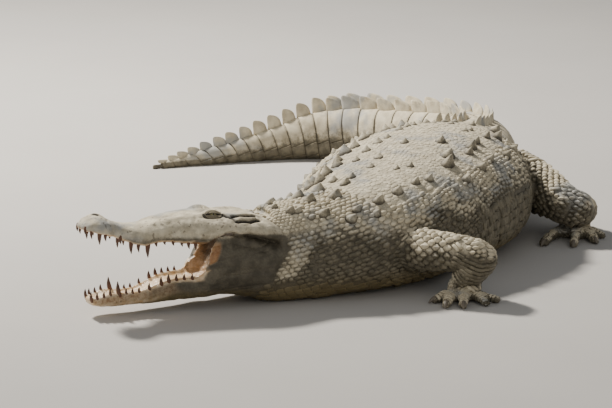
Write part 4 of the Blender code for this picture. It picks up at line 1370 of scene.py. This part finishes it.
# How far the rings of the tail lean back at the top, as a share of their length.
LEAN = np.interp(
    np.arange(len(WHORLS)),
    (0, DOUBLE_CREST, len(WHORLS) - 4, len(WHORLS) - 1),
    (0.20, 0.65, 1.40, 0.40),
)
flaps, rust = [], []
for i, (s, step) in enumerate(zip(WHORLS, WHORL_STEP)):
    double, share = i < DOUBLE_CREST, min(i / (DOUBLE_CREST - 1), 1)
    single = (i + 1 - DOUBLE_CREST) / SINGLE_CREST
    for side in SIDES if double else SIDES[:1]:
        row = int(np.argmin(np.abs(SPINE_AT - s - 0.5 * LEAN[i] * step)))
        x, y, half_width, top, waist, upper, _ = SPINE[row]
        across = side * (0.30 + 0.10 * share) * (1 - 0.5 * share**6) if double else 0.0
        tall = 0.028 + 0.016 * share if double else 0.046 * (1 - single) ** 0.8 + 0.008
        root = waist + (top - waist) * (1 - abs(across) ** upper) ** (1 / upper) - 0.003
        left, back = np.array([*SPINE_LEFT[row], 0]), np.array([*SPINE_BACK[row], 0])
        out = np.array([0, 0, 1]) + left * math.copysign(0.25 * abs(across) ** 0.5, across)
        out = unit(out[None])[0]
        flaps.append({
            "place": np.array([x, y, root]) + left * across * half_width,
            "out": out,
            "back": unit((back - out * (back @ out))[None])[0],
            "size": (0.98 * step, 0.30 * step + 0.003, tall),
            "patch": body_uv(s, side * 0.02)[0],
        })
        # the right row of the double crest is turned dark brown as painted shade; the single row
        # gets a light rust tint at its tips
        rust.append(0.30 if not double else 0.9 if side < 0 else 0.0)
flaps = [{key: np.array([flap[key] for flap in flaps]) for key in flaps[0]}]
set_scales("tail_crest", FLAP, flaps, 11, uneven=0.05, clean=-0.35, rust=rust)

# ================================================================ the scutes of the neck and back
# Raised horny shields with a sharp keel, each over a bone in the skin: small ones behind the head,
# a cluster on the neck, then rows across the back that grow uneven and sparse down the flanks.
SCUTE = scale_shape("scute shape", [
    (-0.35, 1.06, 1.08, 0.00),
    (0.04, 1.00, 1.00, 0.00),
    (0.28, 0.88, 0.76, 0.02),
    (0.52, 0.70, 0.52, 0.06),
    (0.76, 0.47, 0.29, 0.13),
    (0.92, 0.27, 0.15, 0.19),
    (1.00, 0.10, 0.06, 0.23),
], sides=10, square=2.0)
NECK_SCUTES = [  # along the spine, down from the midline, length, height
    (0.040, 0.022, 0.030, 0.014),
    (0.066, 0.062, 0.034, 0.018),
    (0.096, 0.066, 0.030, 0.012),
    (0.119, 0.098, 0.026, 0.010),
    (0.145, 0.025, 0.044, 0.022),
    (0.156, 0.101, 0.042, 0.022),
    (0.216, 0.043, 0.050, 0.026),
    (0.205, 0.152, 0.040, 0.019),
    (0.230, 0.120, 0.032, 0.013),
    (0.264, 0.160, 0.034, 0.014),
]
FIRST_ROW_OF_SCUTES, ROW_STEP = 0.305, 0.060
COLUMNS = [  # share of the way down the side, chance that a scute is there, length, height
    (0.030, 0.45, 0.034, 0.011),
    (0.110, 0.55, 0.036, 0.014),
    (0.215, 0.75, 0.050, 0.025),
    (0.305, 0.62, 0.046, 0.021),
    (0.395, 0.42, 0.040, 0.016),
    (0.480, 0.12, 0.030, 0.011),
]
luck = np.random.default_rng(16)
scutes = []  # along the spine, down from the midline, length, width, height
for s, drop, long, tall in NECK_SCUTES:
    for side in SIDES:
        place, drops = s + luck.normal(0, 0.003), side * (drop + luck.normal(0, 0.003))
        scutes.append((place, drops, long, 0.86 * long, tall))
for s in np.arange(FIRST_ROW_OF_SCUTES, PELVIS + 0.03, ROW_STEP):
    for c, (share, chance, long, tall) in enumerate(COLUMNS):
        for side in SIDES:
            drop = share * np.interp(s, SPINE_AT, HALF_ROUND) + luck.normal(0, 0.009)
            grow = luck.uniform(0.70, 1.12)
            if luck.random() < chance:
                place = s + luck.normal(0, 0.010) + 0.5 * ROW_STEP * (c % 2)
                high = tall * grow * luck.uniform(0.85, 1.15)
                scutes.append((place, side * drop, long * grow, 0.82 * long * grow, high))
scutes = np.array(scutes)


def along_body(s, drop):
    """Points on the body, the way to the tail there and how much the spine's turn stretches it."""
    step = on_body(s + 0.004, drop) - on_body(s - 0.004, drop)
    return on_body(s, drop), unit(step), np.linalg.norm(step, axis=1) / 0.008


s, drop = scutes[:, :2].T
places, back, _ = along_body(s, drop)
roots = set_on_skin(places, back, scutes[:, 2:], body_uv(s, drop), reach=0.02)
set_scales("back_scutes", SCUTE, [roots], 31, clean=0.45, sharp=42)

# ================================================================ the scales of the body
# Small horny scales in staggered rows that run along the body: low and flat between the scutes,
# raised oval beads on the neck and flanks, and square flat plates under the belly and throat.
BEAD = scale_shape("bead shape", [
    (-0.40, 1.00, 1.00, 0.00),
    (0.30, 0.97, 0.95, 0.00),
    (0.78, 0.70, 0.62, 0.05),
    (1.00, 0.30, 0.22, 0.10),
], sides=8)
PLATE = scale_shape("plate shape", [
    (-0.50, 1.00, 1.00, 0.00),
    (0.45, 0.98, 0.98, 0.00),
    (0.90, 0.86, 0.84, 0.01),
    (1.00, 0.50, 0.40, 0.04),
], sides=8, square=4.5)


def lay_rows(shape_size, span, part, seed, spread=0.12, apart=0.9, sway=0.0, odd=0.0, reach=0.012):
    """Roots in staggered rows along both sides of the body.

    `span` is the length along the spine and `part` the share of the way down the sides that they
    cover. `sway` bends the rows and `odd` is the share of the scales that are left out."""
    step, across, tall = shape_size
    rng = np.random.default_rng(seed)
    rows_s, rows_d = [], []
    for k, drop in enumerate(np.arange(0.5 * across, DEEPEST - 0.04, across)):
        for side in SIDES:
            s = np.arange(span[0] + 0.5 * (k % 2) * step, span[1], step)
            rows_s.append(s + rng.normal(0, spread * step * 0.5, len(s)))
            rows_d.append(side * (drop + rng.normal(0, spread * across * 0.5, len(s))))
    s, drop = np.concatenate(rows_s), np.concatenate(rows_d)
    if sway:
        at = np.column_stack([s, drop, drop * 0])
        s = s + sway * lumps(at, (0.12, 0.12, 1), seed)
        drop = drop + np.sign(drop) * sway * 0.6 * lumps(at, (0.10, 0.14, 1), seed + 1)
    down = np.abs(drop) / np.interp(s, SPINE_AT, HALF_ROUND)
    keep = (down > part[0]) & (down < part[1]) & (rng.random(len(s)) >= odd)
    s, drop = s[keep], drop[keep]
    places, back, stretch = along_body(s, drop)
    keep = bare(head_place(places, SKULL_PITCH)) < 0.5
    s, drop, places, back, stretch = (each[keep] for each in (s, drop, places, back, stretch))
    high = tall * rng.uniform(0.75, 1.2, len(s))
    size = np.column_stack([1.04 * step * stretch, np.full(len(s), 1.06 * across), high])
    return set_on_skin(places, back, size, body_uv(s, drop), reach, apart)


TAIL_FRONT = WHORLS[0] + 0.10
COLLAR, RIBS, MIDDLE = 0.10, 0.27, 0.55  # along the spine: ends of the lengths that scales cover
FLANK_TOP, FLANK_FOOT = 0.27, 0.72  # shares of the way down the side
ON_NECK = {"reach": 0.030}  # the neck's scales bridge the swellings at the jaw's root
neck = [
    lay_rows((0.0125, 0.0110, 0.0036), (-0.075, COLLAR), (0.0, 0.30), 41, **ON_NECK),
    lay_rows((0.0172, 0.0130, 0.0058), (-0.075, COLLAR), (0.30, 0.64), 40, 0.10, **ON_NECK),
    lay_rows((0.0165, 0.0140, 0.0056), (COLLAR, RIBS), (0.0, 0.64), 42, 0.2, sway=0.008),
]
throat = lay_rows((0.0200, 0.0170, 0.0020), (-0.03, RIBS), (0.64, 0.97), 43, 0.05, **ON_NECK)
set_scales("neck_scales", BEAD, neck, 44, uneven=0.22)
set_scales("throat_scales", PLATE, [throat], 45, uneven=0.05)
back = lay_rows(
    (0.0150, 0.0125, 0.0012), (RIBS, TAIL_FRONT), (0.0, FLANK_TOP), 46, 0.45, sway=0.016, odd=0.24
)
set_scales("back_scales", BEAD, [back], 47, uneven=0.25)
front, behind, high_up = (RIBS, MIDDLE), (MIDDLE, TAIL_FRONT), (FLANK_TOP, 0.44)
flank = [
    lay_rows((0.0160, 0.0130, 0.0060), front, (FLANK_TOP, FLANK_FOOT), 48, 0.25, sway=0.020),
    lay_rows((0.0165, 0.0135, 0.0048), behind, high_up, 49, 0.25, sway=0.014),
]
rear = lay_rows((0.0142, 0.0270, 0.0045), behind, (0.44, 0.82), 50, sway=0.012, apart=0.40)
for name, side in (("left", 1), ("right", -1)):
    half = []
    for roots in flank:
        here = (roots["patch"][:, 1] - SHEET_MIDDLE) * side > 0
        half.append({key: values[here] for key, values in roots.items()})
    set_scales("flank_scales_" + name, BEAD, half, 51, uneven=0.27)
set_scales("rear_flank_scales", PLATE, [rear], 53, uneven=0.10)
BELLY_PLATE = (0.0330, 0.0250, 0.0036)
belly = [
    lay_rows(BELLY_PLATE, front, (FLANK_FOOT, 0.97), 54, 0.06),
    lay_rows(BELLY_PLATE, behind, (0.82, 0.97), 56, 0.06),
]
set_scales("belly_scales", PLATE, belly, 55, uneven=0.06)

# ================================================================ the rings of the tail
# Smooth tall plates that bend round the side of the tail, two or three to a ring and one ring to
# each flap of the crest, laid over the skin with open grooves between them.
TAIL_ROWS = [0.0, 0.56, 0.80, 1.0]  # where the plates end, as shares of the way down the side
PLATE_LONG = np.array([-0.5, -0.5, -0.45, -0.30, 0.0, 0.30, 0.45, 0.5, 0.5])
PLATE_HIGH = np.array([-1.3, 0.45, 0.88, 1.0, 1.06, 1.0, 0.88, 0.45, -1.3])
PLATE_DOWN = np.concatenate([[0.0, 0.02], np.linspace(0.07, 0.93, 9), [0.98, 1.0]])
PLATE_ENDS = np.concatenate([[0.25, 0.80], np.ones(9), [0.80, 0.25]])
PLATE_TALL, SLENDER = 0.0046, 0.07  # where the way round is less, plates are lower and fewer
RING_FIT = 0.94  # the share of a ring that its plates fill
middles = 0.5 * (WHORLS[1:] + WHORLS[:-1])
ring_ends = np.concatenate([WHORLS[:1], middles, WHORLS[-1:] + 0.4 * WHORL_STEP[-1]])


def tail_plate(i, side, above, below, half_round):
    """Rings of one plate between two shares of the way down, and the values at its points."""
    long = RING_FIT * (ring_ends[i + 1] - ring_ends[i])
    middle = 0.5 * (ring_ends[i + 1] + ring_ends[i])
    drop = above + (below - above) * (0.012 + 0.976 * PLATE_DOWN)
    drop = half_round * drop + 0.001 * (above == 0)
    lean = LEAN[i] * long * (0.5 - drop / half_round)
    columns = len(PLATE_LONG) - 2
    at_s = (middle + lean[:, None] + long * PLATE_LONG[None, 1:-1]).ravel()
    at_d = side * np.repeat(drop, columns)
    on = on_body(at_s, at_d)
    out = np.cross(on_body(at_s + 0.003, at_d) - on, on_body(at_s, at_d + 0.003) - on)
    out = unit(out)
    heart = on_body(at_s, at_d * 0 + 1e-4) * (1, 1, 0)
    heart[:, 2] = 0.5 * np.interp(WHORLS[i], SPINE_AT, SPINE[:, 3])
    out *= np.sign((out * (on - heart)).sum(1))[:, None]
    rise = [(np.array(SKIN.find_nearest(p)[0]) - p) @ n for p, n in zip(on, out)]
    rise = np.clip(rise, -0.006, 0.006).reshape(-1, columns)
    grid, out = on.reshape(-1, columns, 3), out.reshape(-1, columns, 3)
    grid = grid + out * rise[:, :, None]
    pick = [0, *range(columns), columns - 1]
    tall = PLATE_TALL * min(1.0, half_round / SLENDER)
    high = tall * PLATE_ENDS[:, None] * PLATE_HIGH[None, :]
    shell = grid[:, pick] + out[:, pick] * high[:, :, None]
    spot = np.broadcast_arrays(PLATE_LONG[None, :], PLATE_DOWN[:, None] - 0.5, 0 * high)
    # crown falls to 0 at the plate's ends, where the scale finish paints shade into the grooves
    crown = np.clip(high / tall, 0, 1) * np.clip((0.5 - np.abs(PLATE_LONG)) * 14, 0, 1)
    patch = np.append(body_uv(WHORLS[i], side * 0.5 * (above + below) * half_round), 0)
    values = {
        "patch": np.tile(patch, (high.size, 1)),
        "spot": np.stack(spot, axis=-1).reshape(-1, 3),
        "crown": crown.ravel(),
        "tint": np.full(high.size, (i * 0.618 + above) % 1),
    }
    return shell, values


plates = []
for i, s in enumerate(WHORLS):
    half_round = np.interp(s, SPINE_AT, HALF_ROUND)
    rows = TAIL_ROWS if half_round > SLENDER else TAIL_ROWS[:1] + TAIL_ROWS[2:]
    if s >= TAIL_FRONT:
        for side in SIDES:
            plates += [tail_plate(i, side, *ends, half_round) for ends in zip(rows, rows[1:])]
tail_plates = new_object("tail_plates", *closed_shells([shell for shell, _ in plates]))
mesh = tail_plates.data
for key in plates[0][1]:
    kind = "FLOAT_VECTOR" if key in ("patch", "spot") else "FLOAT"
    set_values(mesh, key, np.concatenate([values[key] for _, values in plates]), kind)
dust, warm = marks(points_of(mesh), normals_of(mesh))
for key, values in {"dust": dust, "warm": warm, "rust": 0 * dust}.items():
    set_values(mesh, key, values)
mesh.materials.append(scale_finish)
finish_scales(tail_plates, sharp=50)

# ================================================================ the scales of the legs and feet
# Large keeled scales on the upper arm and thigh, bands of plates on the forearm, the shank and the
# thigh's root, knobs over the elbow and knee, small beads on the feet, short bands over the toes.
def limb_uv(number_of, across, down):
    """Places on the strip of one limb; odd numbers lie in the right half of the unwrap."""
    at = LIMB_SHEET + LIMB_PITCH * (number_of // 2) + down
    return np.column_stack([across + 0.5 * (number_of % 2), at])


def lay_round(
    path, shape_size, number_of, seed, stagger=0.5, reach=0.012, apart=0.85, spread=0.10,
    part=(0.0, 1.0), domes=(), dome=0.5, long=1.06, wide=1.06, vary=0.22,
):
    """Roots in rings round a limb, over a part of its length and over the domes at its ends."""
    step, across, tall = shape_size
    rng = np.random.default_rng(seed)
    path = np.array(path, float)
    spots, radii = path[:, :3], path[:, 3:]
    travel = np.append(0, np.cumsum(np.linalg.norm(np.diff(spots, axis=0), axis=1)))
    places = np.arange(part[0] * travel[-1], part[1] * travel[-1], step)
    centres, sizes = through(travel, spots, places), through(travel, radii, places)
    heading = through(travel, spots, places + 0.002) - through(travel, spots, places - 0.002)
    heading = unit(heading)
    for end in domes:
        way = 1 if end else -1
        radius = radii[end].mean()
        ahead = spots[[end]] - through(travel, spots, [travel[end] - way * 0.004])
        ahead = unit(ahead)[0] * way
        turns = np.arange(step / radius * 0.5, math.pi / 2, step / radius)
        places = np.append(places, travel[end] + way * turns * radius)
        beyond = [spots[end] + way * ahead * dome * radius * math.sin(turn) for turn in turns]
        centres = np.vstack([centres] + beyond)
        sizes = np.vstack([sizes] + [radii[end] * math.cos(turn) for turn in turns])
        heading = np.vstack([heading, np.repeat(ahead[None], len(turns), axis=0)])
    points, back, uv = [], [], []
    for k, (centre, ahead, (side_radius, up_radius)) in enumerate(zip(centres, heading, sizes)):
        side = np.cross(ahead, (0, 0, 1))
        side /= np.linalg.norm(side)
        many = max(3, int(round(math.pi * (side_radius + up_radius) / across)))
        turn = (np.arange(many) + stagger * (k % 2)) * 2 * math.pi / many
        turn = turn + rng.normal(0, spread * 0.5 / many, many)
        ring = centre + np.outer(np.cos(turn) * side_radius, side)
        ring = ring + np.outer(np.sin(turn) * up_radius, np.cross(side, ahead))
        points.append(ring + ahead * rng.normal(0, spread * step * 0.4, many)[:, None])
        back.append(np.repeat(ahead[None], many, axis=0))
        turned = (turn / (2 * math.pi)) % 1
        at = np.full(many, 0.02 + 0.45 * places[k] / 0.6)
        uv.append(limb_uv(number_of, at, LIMB_WIDE * turned))
    points, back, uv = np.vstack(points), np.vstack(back), np.vstack(uv)
    flat = np.tile((long * step, wide * across), (len(points), 1))
    size = np.column_stack([flat, tall * rng.uniform(1 - vary, 1 + vary, len(points))])
    return set_on_skin(points, back, size, uv, reach, apart)


def lay_cap(centre, ahead, radius, shape_size, number_of):
    """Roots of knobs spread over the bend of a limb, on a spiral round a ball."""
    step, across, tall = shape_size
    many = int(4 * math.pi * radius**2 / (step * across))
    place = np.arange(many) + 0.5
    level, turn = 1 - 2 * place / many, place * math.pi * (3 - math.sqrt(5))
    around = np.sqrt(1 - level**2)
    points = np.column_stack([around * np.cos(turn), around * np.sin(turn), level])
    size = np.tile((step, across, tall), (many, 1))
    at = 0.5 - 0.02 * (turn / (2 * math.pi) % 1)
    uv = limb_uv(number_of, at, 0.5 * LIMB_WIDE * (level + 1))
    ways = np.tile(ahead, (many, 1))
    return set_on_skin(centre + radius * points, ways, size, uv, reach=0.034, apart=0.72)


RHOMB = scale_shape("rhomb shape", [
    (-0.50, 1.00, 1.00, 0.00),
    (0.12, 0.98, 0.98, 0.00),
    (0.55, 0.80, 0.60, 0.05),
    (0.86, 0.58, 0.24, 0.11),
    (1.00, 0.36, 0.05, 0.17),
], sides=8, square=1.35)
FOREARM_BAND, THIGH_BAND = (0.0142, 0.0220, 0.0078), (0.0170, 0.0300, 0.0085)
KNOB, KNOB_BALL = (0.0225, 0.0185, 0.0070), 0.050
ARM_SCALE, THIGH_SCALE = (0.0160, 0.0265, 0.0100), (0.0125, 0.0220, 0.0085)
TOE_BAND, FOOT_BEAD = (0.0095, 0.0150, 0.0034), (0.0105, 0.0150, 0.0040)
in_bands = {"stagger": 0.0, "apart": 0.30, "vary": 0.05}
big, bands = [], []
for k, (name, path) in enumerate(LIMBS.items()):
    if name.endswith(("lower", "shank")):
        path = np.array(path) * (1, 1, 1, 1.12, 1.12)
        bands.append(lay_round(
            path, FOREARM_BAND, k, 70 + k, reach=0.034, spread=0.02, part=(0.10, 1.0), long=0.72,
            wide=1.35, **in_bands,
        ))
        way = path[0, :3] - path[1, :3] + (0.3, 0, 0)
        big.append(lay_cap(path[0, :3], way, KNOB_BALL, KNOB, k))
on_limb = {"reach": 0.020, "apart": 0.60}
for k, (name, path) in enumerate(LIMBS.items()):
    if name.endswith("upper"):
        big.append(lay_round(path, ARM_SCALE, k, 70 + k, long=1.80, **on_limb))
    elif name.endswith("thigh"):
        bands.append(lay_round(
            path, THIGH_BAND, k, 170 + k, reach=0.020, spread=0.03, part=(0.06, 0.56), long=0.80,
            wide=1.40, **in_bands,
        ))
        part = (0.57, 1.0)
        big.append(lay_round(path, THIGH_SCALE, k, 70 + k, part=part, long=1.70, **on_limb))
set_scales("limb_scales", RHOMB, big, 81, uneven=0.12, sharp=40)
set_scales("shin_scales", PLATE, bands, 82, uneven=0.05)
FIRST_TOE, FIRST_FOOT = 8, 28  # numbers of their strips on the unwrap, after the eight limbs
beads, toe_bands = [], []
for k, (path, toes) in enumerate(FEET.values()):
    for j, toe in enumerate(toes, 5 * k):
        sized = [(*point, *size) for point, size in zip(toe, TOE_SIZES)]
        toe_bands.append(lay_round(
            sized, TOE_BAND, FIRST_TOE + j, 90 + j, stagger=0.0, reach=0.008, apart=0.36,
            spread=0.03, part=(0.25, 1.0), domes=(-1,), dome=0.6, long=0.82,
        ))
    beads.append(lay_round(
        path, FOOT_BEAD, FIRST_FOOT + k, 120 + k, apart=0.6, domes=(0, -1), dome=0.4, long=0.95
    ))
set_scales("foot_scales", BEAD, beads, 83, uneven=0.12)
set_scales("toe_scales", PLATE, toe_bands, 84, uneven=0.05)
for shape in (FLAP, SCUTE, BEAD, PLATE, RHOMB):
    bpy.data.objects.remove(shape)

# ================================================================ stage
# A plain pale floor and soft studio light: a high key from behind on the animal's right, a wide
# fill from the front, a soft side light and a pale surround. None of it belongs to the object.
FLOOR_HALF, FLOOR_LEVEL = 30, -0.0006
corners = [(-1, -1), (1, -1), (1, 1), (-1, 1)]
corners = [(x * FLOOR_HALF, y * FLOOR_HALF, FLOOR_LEVEL) for x, y in corners]
floor = new_object("floor", corners, [[0, 1, 2, 3]])
paper, tree, shader = paint_of("studio paper")
speck = grain(tree, own_place(tree), 1.5, 3)
dress(tree, shader, blend(tree, speck, (0.50, 0.48, 0.45, 1), (0.56, 0.54, 0.51, 1)), 0.95)
floor.data.materials.append(paper)
floor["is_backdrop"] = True

for name, place, aim, size, power in (
    ("key", (-3.0, 2.6, 4.4), (0, 0.1, 0.1), 0.6, 700),
    ("fill", (1.5, -5.5, 3.0), (-0.2, 0.0, 0.1), 4.0, 50),
    ("side", (-4.5, -2.0, 2.0), (-0.3, -0.3, 0.1), 2.5, 40),
):
    lamp = bpy.data.lights.new(name, "AREA")
    lamp.size, lamp.energy, lamp.color = size, power, (1.0, 0.95, 0.87)
    light = bpy.data.objects.new(name, lamp)
    light.location = place
    light.rotation_euler = (Vector(aim) - Vector(place)).to_track_quat("-Z", "Y").to_euler()
    bpy.context.scene.collection.objects.link(light)

world = bpy.data.worlds.new("surround")
world.use_nodes = True
surround = world.node_tree.nodes["Background"].inputs
surround["Color"].default_value, surround["Strength"].default_value = (0.85, 0.88, 0.92, 1), 0.28
bpy.context.scene.world = world

camera = bpy.data.objects.new("camera", bpy.data.cameras.new("camera"))
camera.location, camera.rotation_euler = (-0.32, -9.8555, 2.409), (math.radians(77), 0, 0)
camera.data.lens, camera.data.sensor_width = 200, 36
bpy.context.scene.collection.objects.link(camera)
bpy.context.scene.camera = camera

low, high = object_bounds()
